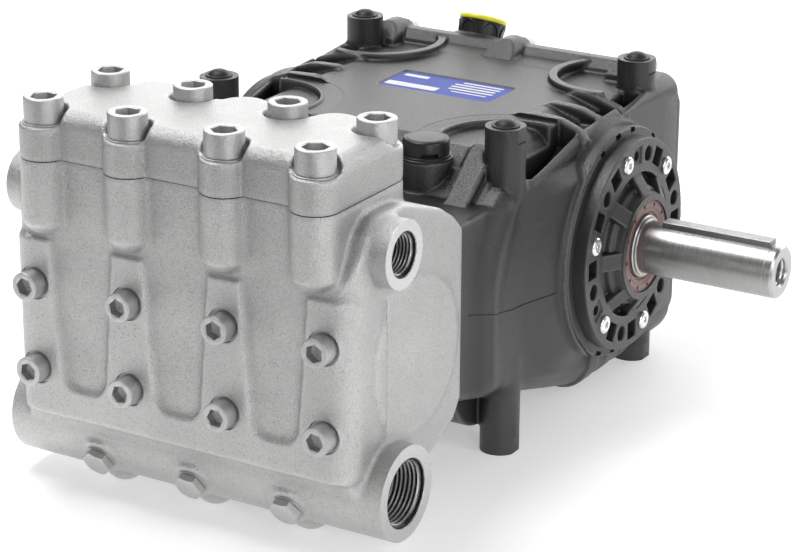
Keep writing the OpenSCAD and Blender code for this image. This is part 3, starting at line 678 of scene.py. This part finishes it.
# The deck's front corners: a lip round a shallow floor, a ramp beside the post and the side wall's straight top
corner = {
    "centre": (95, -90), "lipIn": 43.4, "lipOut": 46.0, "lipTop": 87.9, "deck": 86.45, "ringOut": 59.5,
    "inner": 34.0, "edge": 104.0, "front": -104.0, "back": -36.5, "floor": 83.4,
    "floorFall": ((86, 0), (91, 0.6), (96, 2.6), (100, 6), (103, 11), (104, 17)), "slope": 26.5 / 36.0, "slopeLong": 24,
    "ramp": [(70, -24), (77.5, -3.0), (80.5, 0.1), (94, 0.1), (100, -1.0), (103, -3.5), (104, -24)],
    "rampPath": [(-103, 87.2), (-113, 79.9), (-138, 60.8), (-147, 52.5), (-153, 44.0), (-157, 34.0)],
    "wallTop": [(116.5, -30), (116.8, -1.2), (118.0, 0), (119.6, -0.8), (121.2, -3.2), (121.8, -7), (121.8, -30)],
    "wallPath": [(-112, 63.0), (-100, 66.0), (-34, 81.2), (20, 84.5)],
}


def boxed(shape, name, low, high):
    # the part of a shape that lies inside a box, in the crankshaft's coordinates
    box = boxShape(Shape(), Vector(low) + crankAt, Vector(high) + crankAt)
    return carved(shape.form(name, coatedCasting), name, box, coatedCasting, "INTERSECT")


cornerMeshes = []
for side in sides:
    v = corner
    level = Matrix.Translation(crankAt) @ Matrix.Diagonal((side, 1, 1, 1))
    at = along(side * v["centre"][0], v["centre"][1], 0)
    lipIn, lipOut, top = v["lipIn"], v["lipOut"], v["floor"]
    lip = Shape().turned([(lipIn, 60), (58.5, 60), (58.5, v["deck"]), (lipOut + 0.6, v["deck"]), (lipOut - 0.1, 87.2),
                          (lipOut - 0.8, v["lipTop"]), (lipIn + 0.8, v["lipTop"]), (lipIn, 87)], at, 160, closed=True)
    near, far = sorted((side * 30, side * v["edge"]))
    cornerMeshes.append(boxed(lip, "corner_lip", (near, v["front"], 55), (far, v["back"], 95)))
    floor = [(v["inner"], 60), (v["inner"], top)] + [(x, top - fall) for x, fall in v["floorFall"]] + [(v["edge"], 60)]
    sweptShape(caseForms, floor, [(v["front"], 0), (v["back"] - 4, 0)], level)
    sweptShape(caseForms, [(v["inner"], -25), (v["inner"], 0), (88, 0), (88, -25)],
               [(v["front"], top), (v["front"] - v["slopeLong"], top - v["slopeLong"] * v["slope"])], level)
    sweptShape(caseForms, v["ramp"], v["rampPath"], level)
    sweptShape(caseForms, v["wallTop"], v["wallPath"], level)
    ring = Shape().turned([(lipOut + 0.7, 86.5), (v["ringOut"], 86.5), (v["ringOut"], 96), (lipOut + 0.7, 96)], at, 160,
                          closed=True)
    oldLip = boxed(ring, "corner_cut", (near - 1, v["front"] - 8, 86.5), (far + 1, v["back"], 97))
    caseCuts.add(np.array([p.co for p in oldLip.vertices]) / mm, [list(f.vertices) for f in oldLip.polygons])

made = {}
for nodeName, (pieceName, material, slotName, values) in castings.items():
    given = {}
    if nodeName == "pump_head":
        given = {"extra": [headFill.form("head_fill", castHead)], "cuts": headCuts}
    if nodeName == "crankcase":
        given = {"softer": {"where": caseRidge, "rounds": 40, "swell": caseSwell}, "cuts": caseCuts,
                 "extra": [caseForms.form("case_forms", material)] + cornerMeshes}
    if nodeName.endswith("_flange"):
        forms, holes = flangeForms(1 if nodeName == "drive_flange" else -1)
        given = {"extra": [forms.form("flange_forms", material)], "cuts": holes}
    made[nodeName] = handed(softCasting(pieceName, nodeName, values, material, **given), "housing", slotName, nodeName)
print("castings made")


# Screws and plugs

turnAngles = np.linspace(0, 2 * np.pi, 72, endpoint=False)


def socketScrew(shape, place, v):
    # a turned head with a rounded rim, then the hexagon's entry, walls and drilled bottom
    r, h, c, deep = v["radius"], v["height"], v["rim"], v["deep"]
    flat = hexRadius(v["socket"], turnAngles)
    entry = v["socket"] / 2 / math.cos(math.pi / 6) + 0.25
    rows = [(0, 0), (r - 0.5, 0), (r, 0.5), (r, h - c)]
    rows += [(r - c * (1 - math.cos(t)), h - c * (1 - math.sin(t))) for t in np.radians((22, 45, 68, 90))]
    rows += [(entry, h), (np.minimum(flat, entry), h - 0.45), (flat, h - 0.9), (flat, h - deep),
             (flat * 0.6, h - deep - 0.8), (0, h - deep - 1.6)]
    return shape.turned(rows, place)


def hexPlug(shape, place, v):
    # a hexagon head over a round collar, its corners turned off by half of what they reach past the cone
    flat, h, seat = hexRadius(v["flats"], turnAngles), v["height"], v["collar"]
    cone = v["flats"] / 2 * 0.94
    drop = (flat - cone) * 0.5
    rows = [(0, 0), (v["collarRadius"], 0), (v["collarRadius"], seat), (flat - 0.4, seat), (flat, seat + 0.4),
            (flat, h - drop), (cone, h), (cone * 0.6, h + 0.1), (0, h + 0.1)]
    return shape.turned(rows, place)


coverScrew = {"radius": 12.0, "height": 15.0, "rim": 0.9, "socket": 14.0, "deep": 8.0}
for row, (y, nodeName) in enumerate(zip(pump["coverScrewY"], ("cover_screws_front", "cover_screws_rear"))):
    screws = Shape()
    for k, x in enumerate(pump["coverScrewX"]):
        place = along(x, y, pump["coverSeatZ"], (0, 0, 1), 0.35 + 1.3 * k + row)
        screws.turned([(0, 0), (13, 0), (13, 0.8), (12.6, 1.0), (0, 1.0)], place, 72)
        socketScrew(screws, place @ Matrix.Translation((0, 0, 1)), coverScrew)
    dressed(screws, nodeName + "_heads", screwSteel, "screw_steel", nodeName, sharp=28)

frontScrew = {"radius": 9.0, "height": 12.0, "rim": 0.8, "socket": 10.0, "deep": 6.0}
for z, nodeName in zip(pump["frontScrewZ"], ("head_screws_upper", "head_screws_lower")):
    screws = Shape()
    for k, x in enumerate(pump["frontScrewX"]):
        place = along(x, -pump["headFront"] - pump["padOut"] + pump["spotDepth"], z, (0, -1, 0), 0.3 + 0.9 * k + z)
        socketScrew(screws, place, frontScrew)
    dressed(screws, nodeName + "_heads", screwSteel, "screw_steel", nodeName, sharp=28)

drainPlug = {"flats": 17.0, "height": 6.0, "collar": 1.0, "collarRadius": 10.2}
plugs = Shape()
tilt = math.radians(pump["drainTilt"])
for k, x in enumerate(pump["plungerX"]):
    out = Vector((0, -math.cos(tilt), -math.sin(tilt)))
    seat = Vector((x, pump["suctionAt"][0], pump["suctionAt"][1])) + out * pump["drainSeat"]
    hexPlug(plugs, along(*seat, out, 0.25 + 0.15 * k), drainPlug)
dressed(plugs, "drain_plug_heads", screwSteel, "screw_steel", "drain_plugs", sharp=25)
print("screws made")

# Pipe threads of the ports: crests and roots follow a helix, in a closed sleeve
threads = {
    "suction": {"root": 20.95, "crest": 19.2, "pitch": 2.9, "wall": 21.6, "from": 0.6, "long": 23.2},
    "discharge": {"root": 13.22, "crest": 11.8, "pitch": 2.3, "wall": 13.9, "from": 0.6, "long": 23.2},
}


def threadShape(shape, v, place, steps=72, perTurn=8):
    # radius = root - (root - crest) * ridge, ridge = 1.5 - 3.4 |phase - 0.5| held to 0..1,
    # height = start + pitch * (row / perTurn + angle / 2 pi)
    angle = np.linspace(0, 2 * np.pi, steps + 1)
    rows = np.arange(int((v["long"] / v["pitch"] + 1) * perTurn) + 1) - perTurn
    height = v["pitch"] * (rows[:, None] / perTurn + angle[None, :] / (2 * np.pi))
    phase = (rows[:, None] % perTurn) / perTurn + 0 * angle[None, :]
    ridge = np.clip(1.5 - 3.4 * np.abs(phase - 0.5), 0, 1)
    inside = (height > 0) & (height < v["long"])
    fade = np.clip(height / (1.2 * v["pitch"]), 0, 1)
    radius = np.where(inside, v["root"] - (v["root"] - v["crest"]) * ridge * fade, v["root"])
    height = v["from"] + np.clip(height, 0, v["long"])
    ends = [polar(v["wall"], angle, z)[None] for z in (v["from"], v["from"] + v["long"])]
    return shape.grid(placed(np.concatenate([ends[0], polar(radius, angle, height), ends[1]]), place), ringRows=True)


def radiusTone(mesh, at, root, crest):
    # the edge value of a thread's points: -1 in the root for painted shade, 1 on the crest for painted highlight
    co = meshArrays(mesh)[0] / mm - np.array(crankAt)
    radius = np.hypot(co[:, 1] - at[0], co[:, 2] - at[1])
    edgeTone(mesh, np.interp(radius, (crest, root), (1, -1)))


for name, v in threads.items():
    shape, at = Shape(), pump[name + "At"]
    for side in sides:
        threadShape(shape, v, along(side * pump["portFace"], *at, (-side, 0, 0)))
    sleeve = dressed(shape, name + "_threads", threadMetal, "cast_head", sharp=32, merge=0.000004)
    radiusTone(sleeve.data, at, v["root"], v["crest"])
print("ports threaded")

# Drive end: ground shaft, its keyway and key, wear ring, seal and flange screws
shaftValues = {"keyLow": 166.5, "keyHigh": 242.5, "keyHalf": 5.0, "keySeat": 12.7, "keyTop": 20.7, "keyGap": 0.05,
               "centre": 9.6, "threadRoot": 8.7, "threadCrest": 7.7, "threadPitch": 2.0, "threadLong": 22.0}


def cutPiece(shape, cutter, name, material, cutMaterial, sharp):
    # a piece with another shape cut out of it
    return finished(carved(shape.form(name, material, sharp), name, cutter, cutMaterial), name, material, sharp)


v = shaftValues
axle = along(0, 0, 0, (1, 0, 0))
r, end, root = pump["shaftRadius"], pump["shaftEnd"], v["threadRoot"]
profile = [(0, -131), (r, -131), (r, end - 6.4), (r - 0.18, end - 6.2), (r - 0.18, end - 5.9), (r, end - 5.7),
           (r, end - 1.5), (r - 0.3, end - 1.1), (r - 1.5, end), (v["centre"] + 0.4, end), (v["centre"], end - 0.3),
           (root + 0.02, end - 1.2), (root, end - 28), (0, end - 31)]
near, far, half = v["keyLow"] - v["keyGap"], v["keyHigh"] + v["keyGap"], v["keyHalf"] + 0.04
keyway = prismShape(Shape(), [(near, -half), (far, -half), (far, half), (near, half)], v["keySeat"], 30,
                    Matrix.Translation(crankAt))
handed(cutPiece(Shape().turned(profile, axle, 128), keyway, "drive_shaft", shaftSteel, shaftSteel, 30),
       "shaft", "shaft_steel", "crankshaft")
shaftThread = threadShape(Shape(), {"root": root - 0.02, "crest": v["threadCrest"], "pitch": v["threadPitch"],
                                    "wall": root + 0.3, "from": 1.6, "long": v["threadLong"]},
                          along(end, 0, 0, (-1, 0, 0)), 48, 6)
dressed(shaftThread, "shaft_end_thread", threadMetal, "shaft_steel", body="shaft", merge=0.000004)


def easedBox(shape, low, high, bevel, place):
    # a box whose long edges are broken by a small bevel, as rows of an eight-sided outline
    x, y, z = [(a + bevel, b - bevel) for a, b in zip(low, high)]
    outline = [(low[0], y[0]), (x[0], low[1]), (x[1], low[1]), (high[0], y[0]), (high[0], y[1]), (x[1], high[1]),
               (x[0], high[1]), (low[0], y[1])]
    inner = [(min(max(px, x[0]), x[1]), min(max(py, y[0]), y[1])) for px, py in outline]
    middle = np.broadcast_to(np.mean(outline, axis=0), (8, 2))
    return lofted(shape, [(middle, low[2]), (inner, low[2]), (outline, z[0]), (outline, z[1]), (inner, high[2]),
                          (middle, high[2])], place)


key = easedBox(Shape(), (v["keyLow"], -v["keyHalf"], v["keySeat"]), (v["keyHigh"], v["keyHalf"], v["keyTop"]), 0.35,
               Matrix.Translation(crankAt))
dressed(key, "drive_key", keySteel, "shaft_steel", "shaft_key", body="shaft", sharp=20)
ringProfile = [(17.52, 140), (20.9, 140), (20.9, 152.9), (20.3, 153.6), (19.9, 153.6), (19.8, 153.2), (19.5, 153.2),
               (19.4, 154.2), (18.6, 154.5), (18.4, 154.1), (18.1, 154.1), (17.52, 154.5)]
dressed(Shape().turned(ringProfile, axle, 128, closed=True), "wear_ring_turned", shaftSteel, "shaft_steel", "wear_ring",
        body="shaft", sharp=25)
sealProfile = [(21.2, 146), (30.9, 146), (30.9, 152.6), (30.5, 153), (29.9, 153), (29.75, 152.6), (29.55, 152.6),
               (29.4, 152.95), (26.0, 152.95), (25.85, 152.6), (25.65, 152.6), (25.5, 152.9), (23.2, 152.2),
               (22.6, 151.2), (21.2, 150.6)]
ticks = {"in": 27.0, "out": 29.2, "half": 1.25, "count": 12, "turn": 8, "face": 152.95, "deep": 0.5, "floor": 152.35}


def tickShape(low, high, gap, sideGap):
    # the seal's marks: small blocks round the lip
    shape = Shape()
    near, far, half = ticks["in"] + gap, ticks["out"] - gap, ticks["half"] - sideGap
    for k in range(ticks["count"]):
        prismShape(shape, [(near, low), (far, low), (far, high), (near, high)], -half, half,
                   wheelPlace(1, ticks["turn"] + 360 // ticks["count"] * k))
    return shape


sealBody = Shape().turned(sealProfile, axle, 128, closed=True)
tickCuts = tickShape(ticks["face"] - ticks["deep"], 154, 0, 0)
# the tick recesses are cut with the painted shade black as cut material
handed(cutPiece(sealBody, tickCuts, "shaft_seal_moulded", sealRubber, deepBlack, 25),
       "housing", "seal_rubber", "shaft_seal")
# painted shade on the floors of the seal's tick recesses
dressed(tickShape(ticks["floor"], 152.6, 0.02, 0.05), "seal_tick_shade_floors", deepBlack, "seal_rubber")


def lobeScrew(shape, place, v):
    # a low rounded head with a six-lobed socket: radius = middle + swing * cos(6 angle)
    lobe = v["lobe"] + v["swing"] * np.cos(6 * turnAngles)
    r, h = v["radius"], v["height"]
    rows = [(0, 0), (r, 0), (r, h * 0.3), (r * 0.985, h * 0.5), (r * 0.93, h * 0.72), (r * 0.82, h * 0.88), (r * 0.68, h),
            (v["lobe"] + v["swing"] + 0.2, h), (lobe, h - 0.25), (lobe, h - v["deep"]), (lobe * 0.5, h - v["deep"] - 0.2),
            (0, h - v["deep"] - 0.2)]
    return shape.turned(rows, place)


flangeScrew = {"radius": 6.2, "height": 2.4, "lobe": 2.3, "swing": 0.42, "deep": 1.9}
for side, nodeName in ((1, "drive_flange_screws"), (-1, "blind_flange_screws")):
    screws = Shape()
    for k in range(6):
        lobeScrew(screws, boltPlace(side, 45 + 60 * k, pump["flangeFace"], 0.4 * k), flangeScrew)
    dressed(screws, nodeName + "_heads", brightSteel, "screw_steel", nodeName, sharp=30)
print("drive end made")

# Rear screws, oil plug and sight glass
rearScrew = {"radius": 6.5, "height": 8.0, "rim": 0.6, "socket": 6.0, "deep": 4.0, "seat": 114.0}
rearPlaces = [(-99, 86), (-3, 86), (93, 86), (-90, -91), (0, -91), (90, -91), (-112, 0), (112, 0)]
screws = Shape()
for k, (x, z) in enumerate(rearPlaces):
    socketScrew(screws, along(x, rearScrew["seat"], z, (0, 1, 0), 0.5 * k), rearScrew)
dressed(screws, "rear_cover_screw_heads", screwSteel, "screw_steel", "rear_cover_screws", sharp=28)
oilPlug = {"flats": 16.4, "height": 9.4, "collar": 1.5, "collarRadius": 12.0}
dressed(hexPlug(Shape(), along(0, 128, -66, (0, 1, 0)), oilPlug), "oil_drain_plug_head", screwSteel, "screw_steel",
        "oil_drain_plug", sharp=25)
sightHex = hexRadius(24.2, turnAngles)
frameRows = [(0, 0), (14.95, 0), (14.95, 5.5), (14.5, 6), (sightHex, 6), (sightHex, 8.5), (sightHex - 0.5, 9), (9.6, 9),
             (9.0, 8.4), (9.0, 2), (0, 2)]
dressed(Shape().turned(frameRows, along(44, 124, -32, (0, 1, 0))), "sight_glass_ring", screwSteel, "screw_steel",
        "sight_glass_frame", sharp=25)

# Caps in the posts: a flat rim under a low dome
plugRows = [(0, 0), (9.0, 0), (9.0, 0.55), (8.8, 0.75), (7.2, 0.8), (6.9, 1.1), (6.3, 2.0), (5.2, 3.0), (3.6, 3.7),
            (1.8, 4.1), (0, 4.15)]
for side, word in ((-1, "left"), (1, "right")):
    for y, row in zip(pump["postY"], ("front", "rear")):
        nodeName = "post_plug_" + word + "_" + row
        dressed(Shape().turned(plugRows, along(side * pump["postX"], y, pump["postTop"]), 64), nodeName + "_dome",
                blackGloss, "black_plastic", nodeName, sharp=40)

# Breather: a stepped ring and a cap with a slot low on its side
breather = {"at": (58, -126, 80), "slotTurn": -50.8, "slotHalf": 5.6, "slotLow": 3.6, "slotHigh": 2.6}
at, half, low, high = [breather[key] for key in ("at", "slotHalf", "slotLow", "slotHigh")]
baseRows = [(0, 0), (17, 0), (17, 1.1), (16.5, 1.4), (16.1, 1.5), (16.1, 2.7), (15.8, 3), (0, 3)]
dressed(Shape().turned(baseRows, along(*at), 96), "breather_base", blackPlastic, "black_plastic", "breather_ring",
        sharp=30)
capRows = [(0, 3), (14.5, 3), (14.9, 3.3), (14.9, 11.2), (14.6, 12.2), (13.9, 12.9), (13.1, 13.2), (12.4, 13.3),
           (12.25, 13.15), (12.05, 13.15), (11.9, 13.35), (6, 13.6), (0, 13.7)]
arch = [(half * a, low + high * b) for a, b in ((1, 0.4), (0.86, 0.85), (0.6, 1), (-0.6, 1), (-0.86, 0.85), (-1, 0.4))]
arch = [(-half, low - 0.1), (half, low - 0.1)] + arch
turn = math.radians(breather["slotTurn"])
facing = Vector((math.cos(turn), math.sin(turn), 0))
slotTurn = Matrix((Vector((0, 0, 1)).cross(facing), (0, 0, 1), facing)).transposed().to_4x4()
slot = prismShape(Shape(), arch, 9.0, 20.0, Matrix.Translation(Vector(at) + crankAt) @ slotTurn)
# the slot is cut with the painted shade black as cut material
handed(cutPiece(Shape().turned(capRows, along(*at), 96), slot, "breather_cap_moulded", blackPlastic, deepBlack, 30),
       "housing", "black_plastic", "breather_cap")

# Filler: a black body with arched grips and a yellow top
filler = {"at": (-44, 126, 86.5), "tilt": 22, "radius": 16.3, "high": 10.0, "arches": 6, "width": 0.43, "bead": 0.9,
          "archLow": 0.4, "archHigh": 8.4}
tilt = math.radians(filler["tilt"])
fillerPlace = Matrix.Translation(Vector(filler["at"]) + crankAt) @ Matrix.Rotation(-tilt, 4, "X")
r, high = filler["radius"], filler["high"]
body = Shape().turned([(0, 0), (r, 0), (r, high), (0, high)], fillerPlace, 96)
u = np.linspace(-1, 1, 25)
for k in range(filler["arches"]):
    # each grip is an arch round the body: angle = middle + width u, height = low + high (1 - u^2)^0.6
    turn = 2 * np.pi * (k + 0.35) / filler["arches"] + filler["width"] * u
    path = polar(r, turn, filler["archLow"] + filler["archHigh"] * (1 - u ** 2) ** 0.6)
    away = polar(1, turn, 0) @ np.array(fillerPlace)[:3, :3].T
    tubeShape(body, placed(path, fillerPlace), away, filler["bead"])
dressed(body, "filler_cap_grip", blackPlastic, "black_plastic", "filler_cap_body", sharp=40)
topRows = [(0, high), (16.9, high), (17.3, 10.5), (17.3, 11.6), (17.0, 12.5), (16.2, 13.2), (14.7, 13.5), (0, 13.9)]
dressed(Shape().turned(topRows, fillerPlace, 96), "filler_cap_lid", yellowPlastic, "yellow_plastic", "filler_cap_top",
        sharp=40)

# Data plate: blue, with blank pale fields
plate = {"half": (43.2, 19.7), "low": 85.0, "high": 85.62, "corner": 3.7, "field": 85.74, "fieldCorner": 1.1,
         "fields": ((-39, -20, 9.4, 14.2), (-41, -1.5, -13.6, -5.4), (6, 37, 12.8, 15.2), (2, 37, 7.6, 10.0),
                    (2, 36, 2.2, 4.8), (3, 37, -3.2, -0.6), (8, 35, -8.4, -6.6))}


def roundedOutline(x0, x1, y0, y1, r, steps=6):
    # corners of a rectangle rounded by radius r
    quarter = np.linspace(0, np.pi / 2, steps)
    corners = ((x1 - r, y1 - r, 0), (x0 + r, y1 - r, 1), (x0 + r, y0 + r, 2), (x1 - r, y0 + r, 3))
    return [(cx + r * math.cos(q + k * math.pi / 2), cy + r * math.sin(q + k * math.pi / 2))
            for cx, cy, k in corners for q in quarter]


hx, hy = plate["half"]
level = Matrix.Translation(crankAt)
outline = roundedOutline(-hx, hx, -hy, hy, plate["corner"])
dressed(prismShape(Shape(), outline, plate["low"], plate["high"], level), "data_plate_blue", bluePlate, "blue_plate",
        "data_plate", sharp=30)
fields = Shape()
for x0, x1, y0, y1 in plate["fields"]:
    outline = roundedOutline(x0, x1, y0, y1, min(plate["fieldCorner"], (y1 - y0) / 2.2))
    prismShape(fields, outline, plate["high"] - 0.1, plate["field"], level)
dressed(fields, "data_plate_fields", paleInk, "blue_plate", sharp=30)
print("small parts made")

# Fine parting lines: beads laid on the castings' surface, found by rays from the side
def sideLine(shape, mesh, points, side, radius):
    tree = BVHTree.FromPolygons([v.co.copy() for v in mesh.vertices], [tuple(p.vertices) for p in mesh.polygons])
    path, away = [], []
    for y, z in points:
        start = (Vector((side * 300, y, z)) + crankAt) * mm
        hit, normal = tree.ray_cast(start, Vector((-side, 0, 0)))[:2]
        path.append(hit / mm)
        away.append(normal)
    return tubeShape(shape, path, away, radius, 8)


def lineThrough(corners, count):
    # points at even steps along a broken line
    corners = np.array(corners, float)
    steps = np.concatenate([[0], np.cumsum(np.linalg.norm(np.diff(corners, axis=0), axis=1))])
    at = np.linspace(0, steps[-1], count)
    return list(zip(np.interp(at, steps, corners[:, 0]), np.interp(at, steps, corners[:, 1])))


caseLine, headLine = Shape(), Shape()
for side in sides:
    sideLine(caseLine, made["crankcase"].data, lineThrough([(-168, -2), (-125, -11), (-84, -11)], 60), side, 0.55)
    sideLine(headLine, made["pump_head"].data, lineThrough([(-280.5, 46), (-280.5, -40)], 40), side, 0.35)
dressed(caseLine, "crankcase_parting_line", coatedCasting, "coated_casting")
dressed(headLine, "head_parting_line", castHead, "cast_head")
print("parting lines made")

# Finishes of the CAD nodes that stay
for material, names in (
    (screwSteel, "cover_screws_front cover_screws_rear head_screws_upper head_screws_lower drain_plugs "
                 "rear_cover_screws sight_glass_frame oil_drain_plug"),
    (brightSteel, "drive_flange_screws blind_flange_screws"), (sealRubber, "shaft_seal"), (keySteel, "shaft_key"),
    (shaftSteel, "wear_ring crankshaft"), (blackPlastic, "breather_cap breather_ring filler_cap_body"),
    (yellowPlastic, "filler_cap_top"), (bluePlate, "data_plate"), (glass, "sight_glass"), (castHead, "pump_head"),
    (blackGloss, "post_plug_left_front post_plug_left_rear post_plug_right_front post_plug_right_rear"),
    (castLid, "valve_cover"), (coatedCasting, "crankcase rear_cover"), (flangeCoating, "drive_flange blind_flange"),
):
    for nodeName in names.split():
        nodes[nodeName].data.materials.clear()
        nodes[nodeName].data.materials.append(material)

# Floor, light and camera
stage = {"size": 6.0, "tone": 0.86, "glow": 0.38, "dim": 0.2, "fade": (0.36, 0.75), "world": 0.22}
floorMesh = bpy.data.meshes.new("floor")
half = stage["size"] / 2
floorMesh.from_pydata([(-half, -half, 0), (half, -half, 0), (half, half, 0), (-half, half, 0)], [], [(0, 1, 2, 3)])
# the floor fades out of the picture, where d = 0.525 x - 0.85 y passes the lower edge of the frame
floorFinish = Finish("pale_floor")
x, y, z = floorFinish.axes()
fade = floorFinish.between(x * 0.525 - y * 0.85, *stage["fade"])
floorMesh.materials.append(floorFinish.surface(
    Base_Color=floorFinish.mixed(fade, grey(stage["tone"]), grey(stage["dim"])), Roughness=0.6,
    Emission_Color=floorFinish.mixed(fade, grey(1.0), grey(0.0)), Emission_Strength=stage["glow"]))
shown("floor", floorMesh)

bpy.context.scene.view_settings.view_transform = "Standard"
world = bpy.data.worlds.new("studio")
bpy.context.scene.world = world
world.use_nodes = True
sky = world.node_tree.nodes["Background"].inputs
sky["Color"].default_value = (1, 1, 1, 1)
sky["Strength"].default_value = stage["world"]


def softLight(name, at, aim, size, power):
    lamp = bpy.data.lights.new(name, "AREA")
    lamp.shape, lamp.size, lamp.size_y, lamp.energy = "RECTANGLE", size[0], size[1], power
    made = shown(name, lamp)
    made.location = at
    made.rotation_mode = "QUATERNION"
    made.rotation_quaternion = (Vector(aim) - Vector(at)).to_track_quat("-Z", "Y")


lights = {  # place, aim, width and height, power
    "key_box": ((-0.6, -0.2, 1.9), (0, -0.1, 0.15), (1.1, 0.9), 25),
    "back_wall": ((-0.3, 2.3, 1.1), (0, 0, 0.2), (4.5, 1.8), 60),
    "side_box": ((1.9, -0.3, 0.9), (0, 0, 0.12), (0.6, 1.4), 9),
    "low_strip": ((1.05, -0.95, 0.24), (0.05, -0.05, 0.06), (0.24, 1.1), 5.5),
    "front_fill": ((-0.9, -2.3, 0.7), (0, 0, 0.1), (1.2, 1.0), 3.5),
}
for name, (at, aim, size, power) in lights.items():
    softLight(name, at, aim, size, power)

# The photograph's view: focal length and frame in pixels, the camera's axes and place
view = {"focal": 2700.794, "wide": 800, "sensor": 36, "right": (0.85882, 0.51226, 0.00518),
        "up": (-0.18084, 0.29369, 0.93865), "ahead": (-0.47931, 0.80706, -0.34486),
        "at": (870.28, -1524.81, 594.27)}
camData = bpy.data.cameras.new("photo_view")
camData.sensor_width = view["sensor"]
camData.lens = view["focal"] / view["wide"] * view["sensor"]
camData.clip_end = 50
camera = shown("photo_view", camData)
seen = (Vector(view["at"]) + crankAt) * mm
axes = Matrix((view["right"], view["up"], [-v for v in view["ahead"]])).transposed()
camera.matrix_world = Matrix.Translation(seen) @ axes.to_4x4()
bpy.context.scene.camera = camera
print("stage made")
